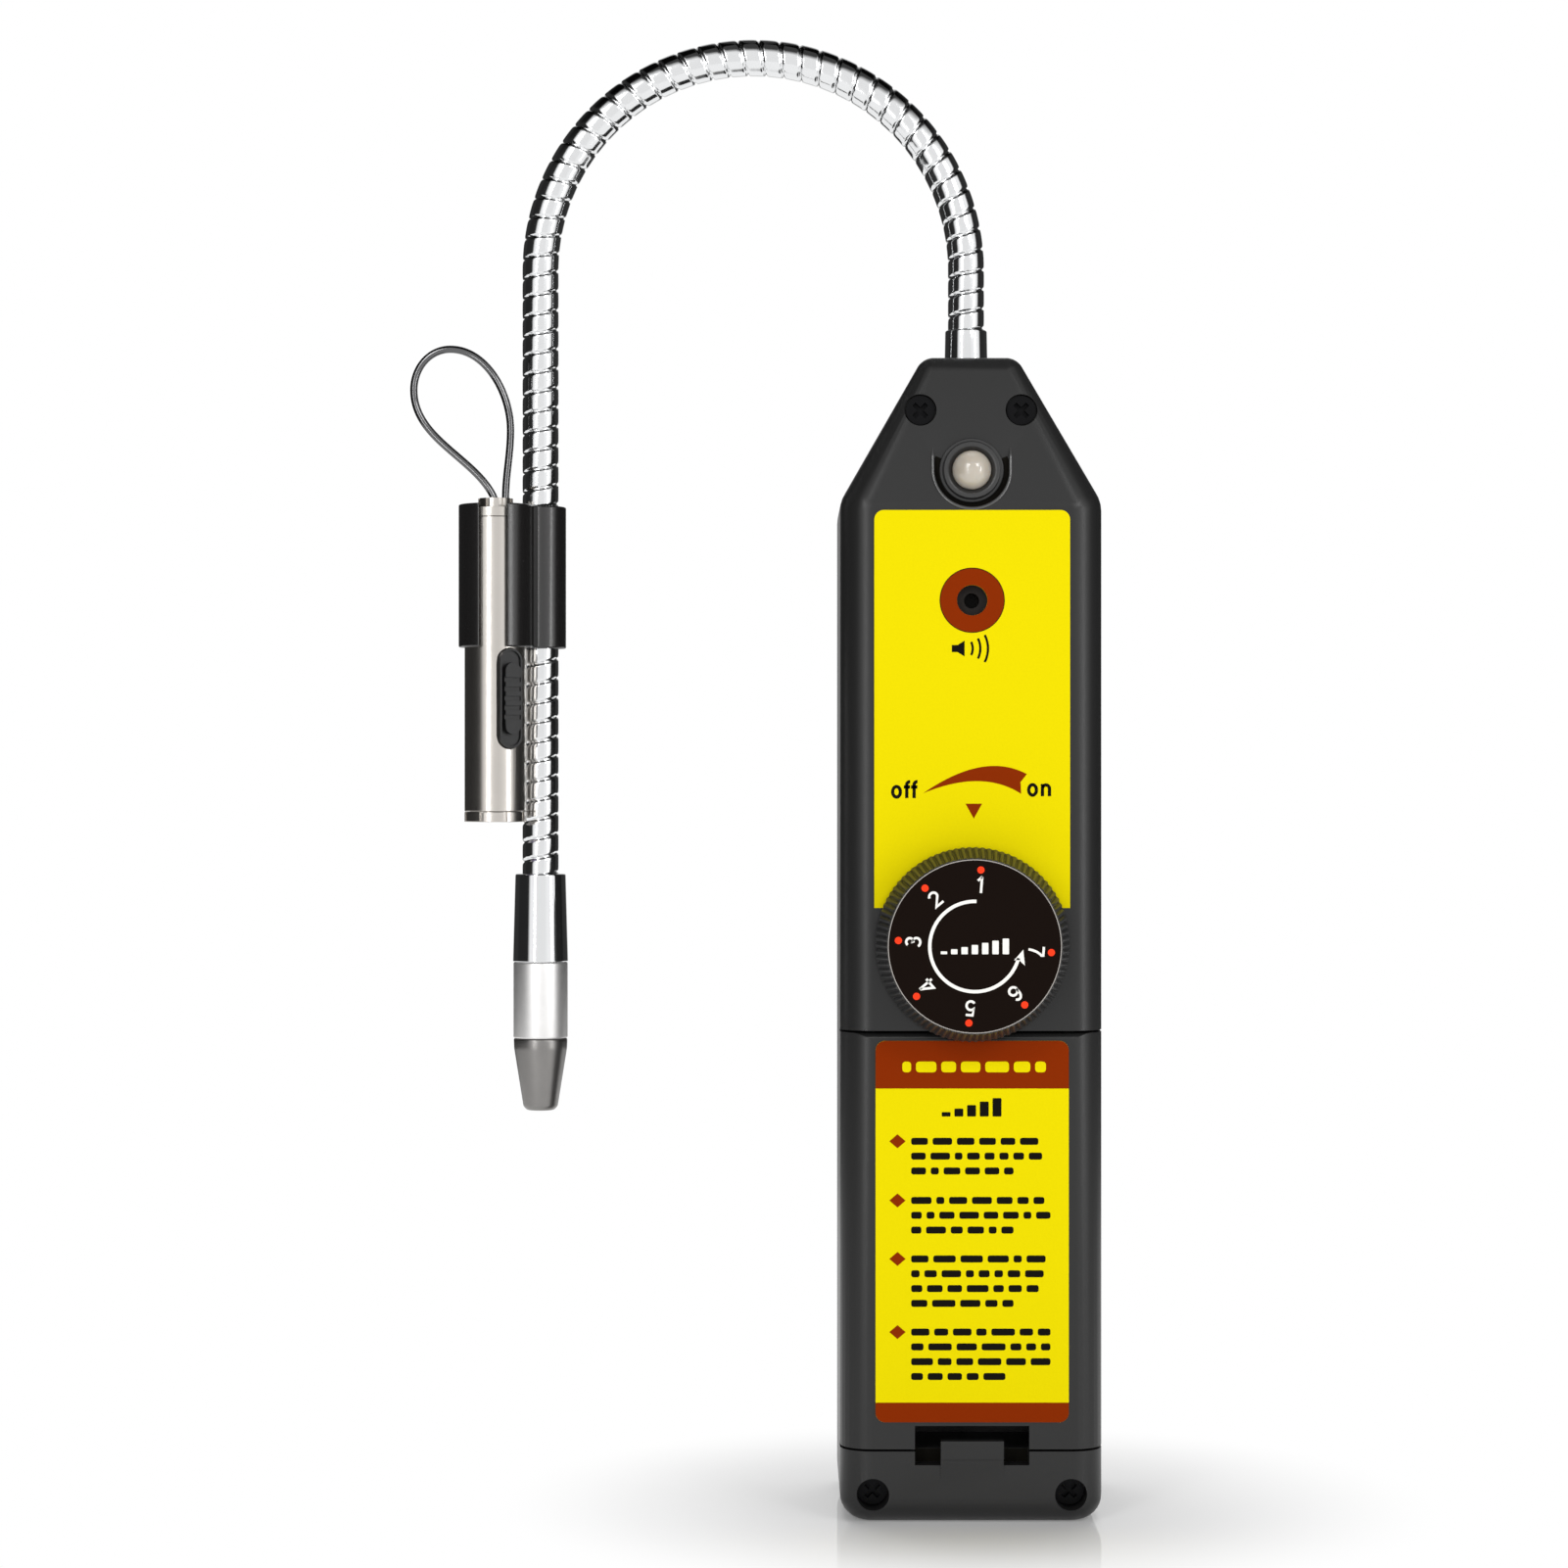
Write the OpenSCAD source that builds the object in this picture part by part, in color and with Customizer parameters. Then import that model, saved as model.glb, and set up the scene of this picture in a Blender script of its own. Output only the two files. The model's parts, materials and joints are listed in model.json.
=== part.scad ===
// Hand-held refrigerant leak detector: a moulded case with a sensitivity dial and a battery
// door, a flexible neck that carries the sensor tip, and an ultraviolet torch clipped to it.
// Millimetres. The case stands on z = 0 with its front towards -Y.

/* [Case] */
// Width across the case
body_w = 41.5; // [39:0.5:46]
// Depth from front to back
body_d = 41.5; // [40:0.5:46]
// Height of the case without the neck
crown_z = 184.4; // [182:0.2:195]
// Height of the tapered head
head_rise = 24.6; // [22:0.2:28]
// Width of the flat on top of the head
crown_flat_w = 11.5; // [9:0.5:14]
// Depth of the flat on top of the head
crown_flat_d = 25.7; // [23:0.1:28]
// Rounding of the upright edges
edge_r = 5.2; // [4.8:0.1:6]
// Rounding of the bottom edges
foot_r = 4; // [3:0.1:4.5]
// Rounding around the top of the head
crown_r = 3; // [2.6:0.1:4]
// Wall of the mouldings
wall = 2; // [1.6:0.1:2.4]
// Depth of the front cover, from its face to the joint with the rear case
cover_depth = 8; // [7:0.5:10]
// Gap around the battery door
seam = 0.35; // [0.3:0.05:0.6]

/* [Case screws] */
// Distance between the two screws at the top
top_screw_span = 16; // [14:0.5:17]
// Distance of the top screws below the top of the head
top_screw_drop = 8.7; // [8:0.1:10]
// Distance between the two screws at the bottom
base_screw_span = 31.2; // [29:0.2:32]
// Height of the bottom screws
base_screw_z = 4.6; // [4.4:0.1:5.4]
// Diameter of the recess around each screw head
screw_recess_d = 5.1; // [4.9:0.1:5.4]
// Diameter of the screw heads
screw_head_d = 4.6; // [4:0.1:4.8]
// Diameter of the screw shanks
screw_d = 2.8; // [2.2:0.1:2.9]
// Length of the screw shanks
screw_len = 12; // [8:1:14]

/* [Battery door] */
// Height of the lower strip under the door
door_z = 11.8; // [11:0.2:13]
// Height of the door
door_h = 65.5; // [64:0.5:72]
// Rounding of the door's top edge, which is also the distance of the hinge line from it
hinge_r = 1.2; // [1:0.1:1.5]
// Width of the notch around the catch
notch_w = 18; // [14:1:22]
// Height of the notch in the door
notch_h = 3.7; // [3:0.1:4]
// Width of the spring catch
catch_w = 9.9; // [8:0.1:12]

/* [Batteries] */
// Diameter of a cell
cell_d = 14.5; // [13.8:0.1:14.5]
// Length of a cell with its button
cell_len = 50.5; // [49:0.5:50.5]
// Length of the compressed contact springs
spring_len = 6.5; // [5:0.5:7]

/* [Dial] */
// Outer diameter of the knob
knob_d = 30.8; // [29:0.1:31]
// Height of the knob
knob_h = 7.5; // [6:0.5:9]
// How far the knob narrows towards its face, on the radius
knob_taper = 1.65; // [0.6:0.05:1.8]
// Gap between the case and the knob
knob_gap = 1.25; // [1.2:0.05:1.6]
// How far the knob reaches over the battery door
knob_overlap = 1.4; // [0.4:0.05:1.5]
// Number of ridges around the knob
knurl_count = 90; // [60:2:110]
// Diameter of the shaft
shaft_d = 6; // [5:0.5:6]

/* [Labels] */
// Width of the front label
label_w = 30.8; // [26:0.2:31]
// Width of the door label
door_label_w = 30.4; // [26:0.2:31]
// Thickness of the labels
label_t = 0.25; // [0.2:0.05:0.3]
// Diameter of the sound hole
sound_hole_d = 4.8; // [4:0.1:5.2]

/* [Signal lamp] */
// Height of the lamp above the shoulder
lamp_rise = 6.2; // [6:0.1:7]
// Diameter of the lamp
lamp_d = 6.2; // [5:0.1:6.6]
// Width of the pocket around the lamp
pocket_w = 12.3; // [11.6:0.1:13]

/* [Neck] */
// Outer diameter of the neck
neck_d = 5.9; // [5.6:0.1:6.4]
// Diameter of the passage for the wires
neck_bore = 4.4; // [4:0.1:4.6]
// Radius of the bend, to the middle of the neck
bend_r = 34.6; // [32:0.2:40]
// Straight length between the case and the bend
neck_rise = 15.6; // [12:0.2:20]
// Straight length from the bend down to the tip
neck_leg = 98.1; // [95:0.1:115]
// Spacing of the bands
band_pitch = 3.15; // [3:0.05:5]
// Width of the grooves between the bands
groove_w = 0.55; // [0.4:0.05:0.8]
// Depth of the grooves
groove_depth = 0.35; // [0.2:0.05:0.4]
// Diameter of the collar where the neck leaves the case
ferrule_d = 6.8; // [6.6:0.1:8]
// Height of that collar
ferrule_h = 5.8; // [3.5:0.1:6.5]
// Bend that each link of the neck allows, in degrees
link_swing = 25; // [15:1:26]

/* [Sensor tip] */
// Length of the polished collar
collar_len = 14.3; // [12:0.1:18]
// Diameter at the top of the collar
collar_top_d = 8.2; // [7.8:0.1:8.8]
// Diameter of the sensor sleeve
sleeve_d = 8.8; // [8.4:0.1:9]
// Length of the sensor sleeve
sleeve_len = 12.4; // [10:0.1:16]
// Length of the nose
nose_len = 11.7; // [10:0.1:14]
// Diameter at the end of the nose
nose_d = 5.5; // [5:0.1:6.4]
// Diameter of the gas inlet
inlet_d = 2.6; // [2:0.1:3]

/* [Torch] */
// Diameter of the torch
torch_d = 10; // [9.4:0.1:10.4]
// Length of the torch without its hanging boss
torch_len = 50.5; // [48:0.5:60]
// Distance of the torch to the side of the neck
torch_side = 6.9; // [6.9:0.1:8]
// Distance of the torch in front of the neck
torch_front = 5.6; // [5.6:0.1:6.2]
// Height of the clip
clip_h = 23; // [18:0.5:26]
// Wall of the clip
clip_wall = 0.9; // [0.8:0.05:1.2]
// Distance of the clip above the sensor tip
clip_rise = 36.6; // [36:0.2:40]
// Width of the slot in the clip's front
clip_slot = 4.5; // [3.5:0.1:5]
// Length of the switch plate
switch_len = 16; // [15:0.5:18]
// Width of the switch plate
switch_w = 4; // [3.8:0.1:4.4]
// Travel of the switch to each side
switch_travel = 1.6; // [1:0.1:1.8]
// Angle of the switch around the torch, from the front
switch_turn = 31; // [20:1:40]
// Diameter of the hanging wire
wire_d = 1.2; // [0.8:0.1:1.3]

/* [Hidden] */

$fn = 64;
// Facets around the rounded corners of the case, outside and inside
hull_fn = 32;
cavity_fn = 16;
// Larger than the whole object, for half spaces and through cuts
big = 400;
// Extra length of cuts, so that they pass the faces they open
cut = 1;
// Clearance of pieces that are assembled and stay put
fit = 0.05;

// Case
front_y = -body_d / 2;
parting_y = front_y + cover_depth;
inner_y = front_y + wall;
corner_x = body_w / 2 - edge_r;
corner_y = body_d / 2 - edge_r;
boss_r = screw_recess_d / 2 + 0.7;
seat_y = parting_y - 1.85;
screw_hole_r = screw_d / 2 + fit;
rear_post_r = screw_hole_r + 0.85;
screw_head_h = 1.7;
shoulder_z = crown_z - head_rise;
top_screw_z = crown_z - top_screw_drop;
screw_spots = [
    for (side = [-1, 1])
        each [
            [side * top_screw_span / 2, top_screw_z],
            [side * base_screw_span / 2, base_screw_z]
        ]
];

// Battery door and the tray behind it
door_top = door_z + door_h;
hinge_y = front_y + hinge_r;
hinge_z = door_top - hinge_r;
sweep_r = hinge_z - door_z;
hook_w = 6;
hook_x = 10;
hook_in = hinge_r + 1.8;
hook_out = hook_in + 1.4;
hook_rise = 52;
bulkhead = 1.8;
tray_wall = 1.5;
contact_t = 0.4;
cell_gap = 0.4;
cell_y = front_y + wall + cell_d / 2 + 2;
tray_len = cell_len + spring_len + 2 * contact_t;
tray_z = (door_z + door_top - tray_len) / 2;
tray_w = 2 * cell_d + 3 * cell_gap;
tray_floor_y = cell_y + cell_d / 2 + cell_gap / 2;
cell_x = (cell_d + cell_gap) / 2;
button_d = 5.5;
button_h = 1;
catch_foot = 4.9;
catch_z = door_z - catch_foot;
catch_over = 1.4;
catch_top = door_z + catch_over;
catch_t = 1.4;
catch_nib = 2.8;
catch_out = 0.9;
catch_low = 0.3;
notch_drop = 2.5;
notch_depth = 3.5;

// Dial and its potentiometer
knob_z = door_top + knob_d / 2 - knob_overlap;
knob_y = front_y - knob_gap;
knob_face_y = knob_y - knob_h;
knob_face_r = knob_d / 2 - knob_taper;
knurl_depth = 0.45;
dial_t = 0.6;
dial_rim = 0.25;
dial_proud = 0.1;
dial_r = knob_face_r - dial_rim;
shaft_gap = 0.05;
hub_wall = 2;
hub_r = shaft_d / 2 + hub_wall;
knob_wall = 1.8;
bush_wall = 0.6;
bush_r = shaft_d / 2 + bush_wall;
bush_out = 0.9;
pot_r = 8.5;
pot_h = 7;
nut_t = 0.8;
nut_wall = 1.6;

// Labels, board and sounder
label_r = 1.5;
label_over = 5.7;
label_z = knob_z + label_over;
label_edge = 0.2;
label_top = shoulder_z - label_edge;
label_bite = 5;
door_label_edge = 4.3;
door_label_z = door_z + door_label_edge;
door_label_top = hinge_z;
buzzer_drop = 14.2;
buzzer_z = label_top - buzzer_drop;
buzzer_r = 6;
buzzer_h = 9.1;
board_w = 30;
board_t = 1.6;
board_y = inner_y + buzzer_h;
board_gap = 1.5;
board_drop = 4;
board_z = knob_z + pot_r + board_gap;
board_top = label_top - board_drop;
post_r = 2.2;
post_edge = 3;
post_x = board_w / 2 - post_edge;
post_in = 4;
board_screw_in = 4;
post_hole_in = board_screw_in + 1;
board_head_t = 1.2;
board_screw_r = 1;

// Signal lamp
lamp_z = shoulder_z + lamp_rise;
pocket_rise = 3.9;
pocket_top = lamp_z + pocket_rise;
pocket_y = -face_y(pocket_top);
pocket_back = 1.8;
bezel_ring = 1.4;
bezel_r = lamp_d / 2 + bezel_ring;
bezel_flange = 0.6;
bezel_flange_r = bezel_r + bezel_flange;
bezel_flange_t = 0.5;
bezel_h = 1.7;
bezel_sleeve = 0.5;
bezel_sleeve_r = lamp_d / 2 + bezel_sleeve;
lamp_tail = 4.5;
lamp_end = lamp_tail - 1;
lamp_sink = 0.6;
bezel_bevel = 0.7;

// Neck: the bend's centre lies over the middle of the span between its two legs
neck_r = neck_d / 2;
bore_r = neck_bore / 2;
bend_z = crown_z + neck_rise;
leg_x = -2 * bend_r;
tip_z = bend_z - neck_leg;
link_angles = [35, 90, 145];
leg_joint = 15;
ball_r = neck_r - 0.65;
ball_gap = 0.05;
cone = tan(link_swing / 2 + 1.5);
link_end = 2.2;
link_end_angle = link_end / bend_r * 180 / PI;
wire_hole_r = 0.9;
splice_in = 0.1;
ball_wall = 1.2;
ferrule_socket = 2.4;
ferrule_nut_t = 2;
ferrule_nut_w = 0.9;
ferrule_lip = 0.3;
ferrule_flare = 0.12;
ferrule_round = 0.5;

// Sensor tip
collar_socket = 6;
collar_stop = 0.6;
collar_edge = 0.08;
collar_land = 0.4;
spigot_step = 1;
spigot_r = sleeve_d / 2 - spigot_step;
spigot_len = 2.5;
tip_wall = 0.9;
sensor_r = spigot_r - tip_wall;
sensor_len = 9;
sleeve_top = tip_z - collar_len;
nose_top = sleeve_top - sleeve_len;
nose_z = nose_top - nose_len;
nose_round = 0.8;
filter_t = 1;

// Torch
torch_x = leg_x - torch_side;
torch_y = -torch_front;
torch_r = torch_d / 2;
torch_wall = 0.9;
clip_z = tip_z + clip_rise;
clip_top = clip_z + clip_h;
torch_sink = 0.6;
torch_top = clip_top - torch_sink;
torch_z = torch_top - torch_len;
clip_gap = 0.3;
back_slot = 4.4;
tail_h = 1.5;
tail_plug = 2.5;
hang_r = 2.8;
hang_h = 1.6;
head_h = 1.7;
head_plug = 3;
notch_count = 8;
ring_notch = 0.35;
lens_t = 1;
lens_edge = 1.3;
lamp_edge = 1.8;
lamp_flange_t = 1;
lamp_dome_r = 2.4;
lamp_dome_h = 1.5;
torch_cell_len = 22;
switch_gap = 0.3;
switch_z = clip_z - switch_gap - switch_len / 2;
plate_in = torch_r - 0.7;
plate_out = torch_r + 0.2;
rim_out = torch_r + 0.6;
rim_w = 0.35;
slide_gap = 0.3;
slider_len = switch_len - 2 * (rim_w + switch_travel + slide_gap);
slider_w = switch_w - 2 * (rim_w + slide_gap);
slider_out = torch_r + 1.3;
stem_len = 3;
stem_w = 1;
ridge_step = 1.5;
ridge_depth = 0.45;

// Hanging wire, from the torch's axis: four curves, each with its end points and handles
loop_curves = [
    [[-0.2, 0], [-3, 6.5], [-13.2, 9.5], [-13.2, 17.5]],
    [[-13.2, 17.5], [-13.2, 21.2], [-10.6, 24.1], [-7.3, 24.1]],
    [[-7.3, 24.1], [-1.5, 24.1], [2.4, 17], [2.4, 11.1]],
    [[2.4, 11.1], [2.4, 7], [1.6, 4], [1.6, 0]]
];
loop_steps = 9;
loop_root = 1.4;
wire_fn = 8;

// Angle from horizontal of the plane that touches both the shoulder and the crown rounding
function head_tilt(run) =
    let (rise = crown_z - crown_r - shoulder_z, reach = norm([run, rise]))
        acos((crown_r - edge_r) / reach) - atan2(rise, run);

// Distance of the case's front or back face from the middle, at a height
function face_y(z) =
    let (
        tilt = head_tilt(corner_y - crown_flat_d / 2),
        offset = corner_y * cos(tilt) + shoulder_z * sin(tilt) + edge_r
    )
        min(body_d / 2, (offset - z * sin(tilt)) / cos(tilt));

// Point at a share t of a curve with two handles
function curve_point(p, t) =
    pow(1 - t, 3) * p[0] + 3 * t * pow(1 - t, 2) * p[1] + 3 * t * t * (1 - t) * p[2] + pow(t, 3) * p[3];

// Faces of a tube whose rings of n points follow each other, closed at both ends
function tube_faces(rings, n) = concat(
    [[for (i = [0 : n - 1]) i]],
    [
        for (k = [0 : rings - 2], i = [0 : n - 1])
            let (next = (i + 1) % n)
                [k * n + i, (k + 1) * n + i, (k + 1) * n + next, k * n + next]
    ],
    [[for (i = [n - 1 : -1 : 0]) (rings - 1) * n + i]]
);

// Outline of a banded hose of length len, from its bore to its bands
function hose_outline(len) =
    let (count = max(1, round(len / band_pitch)), step = len / count, flank = groove_depth / 2)
        concat(
            [[bore_r, 0]],
            [
                for (i = [0 : count - 1])
                    each [
                        [neck_r - groove_depth, i * step],
                        [neck_r - groove_depth, i * step + groove_w / 2],
                        [neck_r, i * step + groove_w / 2 + flank],
                        [neck_r, (i + 1) * step - groove_w / 2 - flank],
                        [neck_r - groove_depth, (i + 1) * step - groove_w / 2]
                    ]
            ],
            [[neck_r - groove_depth, len], [bore_r, len]]
        );

module ball(r, fn) {
    rotate_extrude($fn = fn)
        intersection() {
            circle(r, $fn = fn);
            translate([0, -r]) square([r, 2 * r]);
        }
}

// Solid form of the case, or of its inside where inset is the wall
module case_form(inset = 0, fn = hull_fn) {
    hull()
        for (sx = [-1, 1], sy = [-1, 1]) {
            translate([sx * corner_x, sy * corner_y, foot_r])
                rotate_extrude($fn = fn)
                    intersection() {
                        translate([edge_r - foot_r, 0]) circle(foot_r - inset, $fn = fn);
                        translate([0, -foot_r]) square([edge_r, 2 * foot_r]);
                    }
            translate([sx * corner_x, sy * corner_y, shoulder_z]) ball(edge_r - inset, fn);
            translate([sx * crown_flat_w / 2, sy * crown_flat_d / 2, crown_z - crown_r])
                ball(crown_r - inset, fn);
        }
}

// Space in front of (-1) or behind (1) the plane y = at
module half_space(at, side) {
    translate([-big / 2, side > 0 ? at : at - big, -big / 2]) cube([big, big, big]);
}

// Cylinder along Y, from y0 towards the back
module rod_y(r, y0, y1) {
    translate([0, y0, 0]) rotate([-90, 0, 0]) cylinder(r = r, h = y1 - y0);
}

// Box centred on x = 0, given by its width and its y and z limits
module box(w, y0, y1, z0, z1) {
    translate([-w / 2, y0, z0]) cube([w, y1 - y0, z1 - z0]);
}

// Strip of the front cover between two heights, with the case's outer form
module cover_band(z0, z1) {
    difference() {
        intersection() {
            case_form();
            box(big, -big, parting_y, z0, z1);
        }
        case_form(wall, cavity_fn);
    }
}

module rear_case() {
    color("#3a3a3a")
        difference() {
            union() {
                difference() {
                    case_form();
                    case_form(wall, cavity_fn);
                    half_space(parting_y, -1);
                }
                for (spot = screw_spots)
                    translate([spot[0], 0, spot[1]])
                        rod_y(rear_post_r, parting_y, face_y(spot[1]) - wall / 2);
            }
            for (spot = screw_spots)
                translate([spot[0], 0, spot[1]])
                    rod_y(screw_hole_r, parting_y - cut, seat_y + screw_len + cut);
            translate([0, 0, crown_z - wall - cut]) cylinder(r = neck_r + fit, h = wall + 2 * cut);
        }
}

// Tray that holds the cells, moulded with the front cover
module battery_tray() {
    z0 = door_z - seam - bulkhead;
    z1 = door_top + seam + bulkhead;
    outer_w = tray_w + 2 * tray_wall;
    difference() {
        box(outer_w, parting_y, tray_floor_y + tray_wall, z0, z1);
        box(tray_w, parting_y - cut, tray_floor_y, tray_z, tray_z + tray_len);
        box(tray_w, parting_y - cut, tray_floor_y, z0 + bulkhead, tray_z - tray_wall);
        box(tray_w, parting_y - cut, tray_floor_y, tray_z + tray_len + tray_wall, z1 - bulkhead);
    }
}

// Cover plates across the case above and below the battery door
module bulkheads() {
    intersection() {
        case_form(wall / 2);
        union() {
            box(body_w, front_y, parting_y, door_top + seam, door_top + seam + bulkhead);
            box(body_w, front_y, parting_y, door_z - seam - bulkhead, door_z - seam);
            box(notch_w + 2 * wall, front_y, front_y + notch_depth + wall,
                door_z - notch_drop - wall, door_z - seam);
        }
    }
}

module front_case() {
    color("#3a3a3a")
        difference() {
            union() {
                cover_band(door_top + seam, big);
                cover_band(-cut, door_z - seam);
                bulkheads();
                battery_tray();
                intersection() {
                    case_form();
                    union() {
                        for (spot = screw_spots)
                            translate([spot[0], 0, spot[1]]) rod_y(boss_r, front_y, parting_y);
                        box(pocket_w + 2 * wall, pocket_y, pocket_y + pocket_back,
                            lamp_z - pocket_w / 2 - wall, pocket_top);
                    }
                }
                for (sx = [-1, 1], z = [board_z + post_in, board_top - post_in])
                    translate([sx * post_x, 0, z]) rod_y(post_r, inner_y - wall / 2, board_y);
            }
            for (spot = screw_spots)
                translate([spot[0], 0, spot[1]]) {
                    rod_y(screw_recess_d / 2, front_y - cut, seat_y);
                    rod_y(screw_hole_r, seat_y - cut, parting_y + cut);
                }
            for (sx = [-1, 1], z = [board_z + post_in, board_top - post_in])
                translate([sx * post_x, 0, z])
                    rod_y(board_screw_r + fit, board_y - post_hole_in, board_y + cut);
            translate([0, 0, knob_z]) rod_y(bush_r + fit, front_y - cut, inner_y + cut);
            translate([0, 0, buzzer_z]) rod_y(sound_hole_d / 2, front_y - cut, inner_y + cut);
            lamp_pocket();
            hook_slots();
            box(notch_w, front_y - cut, front_y + notch_depth, door_z - notch_drop, door_z);
        }
    color("#3a3a3a") catch_tab();
}

// Recess with a flat floor that lets the lamp stand square on the sloping head
module lamp_pocket() {
    translate([0, 0, lamp_z]) rod_y(pocket_w / 2, front_y - cut, pocket_y);
    box(pocket_w, front_y - cut, pocket_y, lamp_z, crown_z);
    translate([0, 0, lamp_z]) rod_y(bezel_sleeve_r + fit, pocket_y - cut, pocket_y + big / 40);
}

// Openings in the upper plate for the door's hooks
module hook_slots() {
    for (sx = [-1, 1])
        translate([sx * hook_x, 0, 0])
            box(hook_w + 2 * seam, hinge_y + hook_in * cos(hook_rise) - seam, hinge_y + hook_out + seam,
                door_top, hinge_z + hook_out + seam);
}

// Spring catch of the battery door, moulded with the lower strip
module catch_tab() {
    foot_z = door_z - notch_drop;
    translate([-catch_w / 2, 0, 0])
        rotate([90, 0, 90])
            linear_extrude(catch_w)
                polygon([
                    [front_y + wall / 2, catch_z],
                    [front_y, catch_z],
                    [front_y - catch_low, foot_z],
                    [front_y - catch_low, catch_top - catch_nib],
                    [front_y - catch_out, catch_top - catch_nib],
                    [front_y - catch_out, catch_top],
                    [front_y + catch_t, catch_top],
                    [front_y + catch_t, foot_z],
                    [front_y + wall / 2, foot_z]
                ]);
}

module front_label() {
    color("#f2e100")
        difference() {
            union() {
                box(label_w, front_y - label_t, front_y, label_z, label_top - label_r);
                box(label_w - 2 * label_r, front_y - label_t, front_y, label_z, label_top);
                for (sx = [-1, 1])
                    translate([sx * (label_w / 2 - label_r), 0, label_top - label_r])
                        rod_y(label_r, front_y - label_t, front_y);
            }
            translate([0, 0, buzzer_z]) rod_y(sound_hole_d / 2, front_y - cut, front_y + cut);
            translate([0, 0, knob_z]) rod_y(knob_face_r - label_bite, front_y - cut, front_y + cut);
        }
}

// Hooks that reach behind the front cover's lower edge, curved about the hinge line
module door_hooks() {
    for (sx = [-1, 1])
        translate([sx * hook_x - hook_w / 2, hinge_y, hinge_z])
            rotate([90, 0, 90]) {
                rotate_extrude(angle = hook_rise)
                    translate([hook_in, 0]) square([hook_out - hook_in, hook_w]);
                translate([0, -hinge_r, 0]) cube([hook_out, hinge_r, hook_w]);
            }
}

module battery_door() {
    color("#383838")
        difference() {
            union() {
                intersection() {
                    difference() {
                        intersection() {
                            case_form();
                            box(big, -big, parting_y - seam, door_z - cut, door_top);
                        }
                        case_form(wall, cavity_fn);
                    }
                    translate([-big / 2, hinge_y, hinge_z])
                        rotate([0, 90, 0]) cylinder(r = sweep_r, h = big);
                }
                door_hooks();
            }
            // Rounded top edge, concentric with the hinge line
            difference() {
                box(big, front_y - cut, hinge_y, hinge_z, door_top + cut);
                translate([-big / 2, hinge_y, hinge_z]) rotate([0, 90, 0]) cylinder(r = hinge_r, h = big);
            }
            box(notch_w, front_y - cut, inner_y + cut, door_z - cut, door_z + notch_h);
        }
}

module door_label() {
    color("#ebdd00")
        for (flat = [0, label_r])
            box(door_label_w - 2 * (label_r - flat), front_y - label_t, front_y,
                door_label_z + flat, door_label_top - flat);
    color("#ebdd00")
        for (sx = [-1, 1], z = [door_label_z + label_r, door_label_top - label_r])
            translate([sx * (door_label_w / 2 - label_r), 0, z]) rod_y(label_r, front_y - label_t, front_y);
}

// Recessed cross-head screws that hold the two halves together
module case_screws() {
    cross_w = 0.7;
    cross_len = screw_head_d * 0.62;
    color("#141414")
        for (spot = screw_spots)
            translate([spot[0], 0, spot[1]])
                difference() {
                    union() {
                        rod_y(screw_head_d / 2, seat_y - screw_head_h, seat_y);
                        rod_y(screw_d / 2, seat_y - cut, seat_y + screw_len);
                    }
                    for (turn = [0, 90])
                        rotate([0, 45 + turn, 0])
                            box(cross_len, seat_y - screw_head_h - cut, seat_y - screw_head_h / 3,
                                -cross_w / 2, cross_w / 2);
                }
}

// Outline of the knob: one point on each ridge and one in each groove
module knurl_outline(r) {
    polygon([
        for (i = [0 : 2 * knurl_count - 1])
            let (a = i * 180 / knurl_count, d = i % 2 == 0 ? r : r - knurl_depth)
                d * [cos(a), sin(a)]
    ]);
}

module knob() {
    color("#2b2b2b")
        translate([0, knob_y, knob_z])
            rotate([90, 0, 0])
                difference() {
                    union() {
                        difference() {
                            linear_extrude(knob_h, scale = knob_face_r / (knob_d / 2))
                                knurl_outline(knob_d / 2);
                            translate([0, 0, -cut])
                                cylinder(r = knob_face_r - knob_wall, h = knob_h - knob_wall + cut);
                        }
                        cylinder(r = hub_r, h = knob_h - knob_wall / 2);
                    }
                    translate([0, 0, -cut])
                        cylinder(r = shaft_d / 2 + fit / 2, h = knob_h - knob_wall + cut);
                    translate([0, 0, knob_h - dial_t]) cylinder(r = dial_r + fit, h = dial_t + cut);
                }
}

module dial_plate() {
    color("#1a1412")
        translate([0, 0, knob_z]) rod_y(dial_r, knob_face_y - dial_proud, knob_face_y + dial_t);
}

module pot_shaft() {
    color("#b9b9b4")
        translate([0, 0, knob_z]) rod_y(shaft_d / 2, knob_face_y + knob_wall + fit, inner_y + pot_h - 2);
}

module pot_body() {
    color("#55607a")
        translate([0, 0, knob_z])
            difference() {
                union() {
                    rod_y(pot_r, inner_y, inner_y + pot_h);
                    rod_y(bush_r, front_y - bush_out, inner_y + cut);
                }
                rod_y(shaft_d / 2 + shaft_gap, front_y - bush_out - cut, inner_y + pot_h - 2 + fit);
            }
}

// Flat nut that clamps the potentiometer's bush to the cover
module pot_nut() {
    color("#b9b9b4")
        translate([0, 0, knob_z])
            difference() {
                rotate([90, 0, 0])
                    translate([0, 0, -front_y]) cylinder(r = bush_r + nut_wall, h = nut_t, $fn = 6);
                rod_y(bush_r + fit, front_y - nut_t - cut, front_y + cut);
            }
}

module circuit_board() {
    color("#1f5a3a")
        difference() {
            box(board_w, board_y, board_y + board_t, board_z, board_top);
            for (sx = [-1, 1], z = [board_z + post_in, board_top - post_in])
                translate([sx * post_x, 0, z])
                    rod_y(board_screw_r + fit, board_y - cut, board_y + board_t + cut);
        }
}

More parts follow.
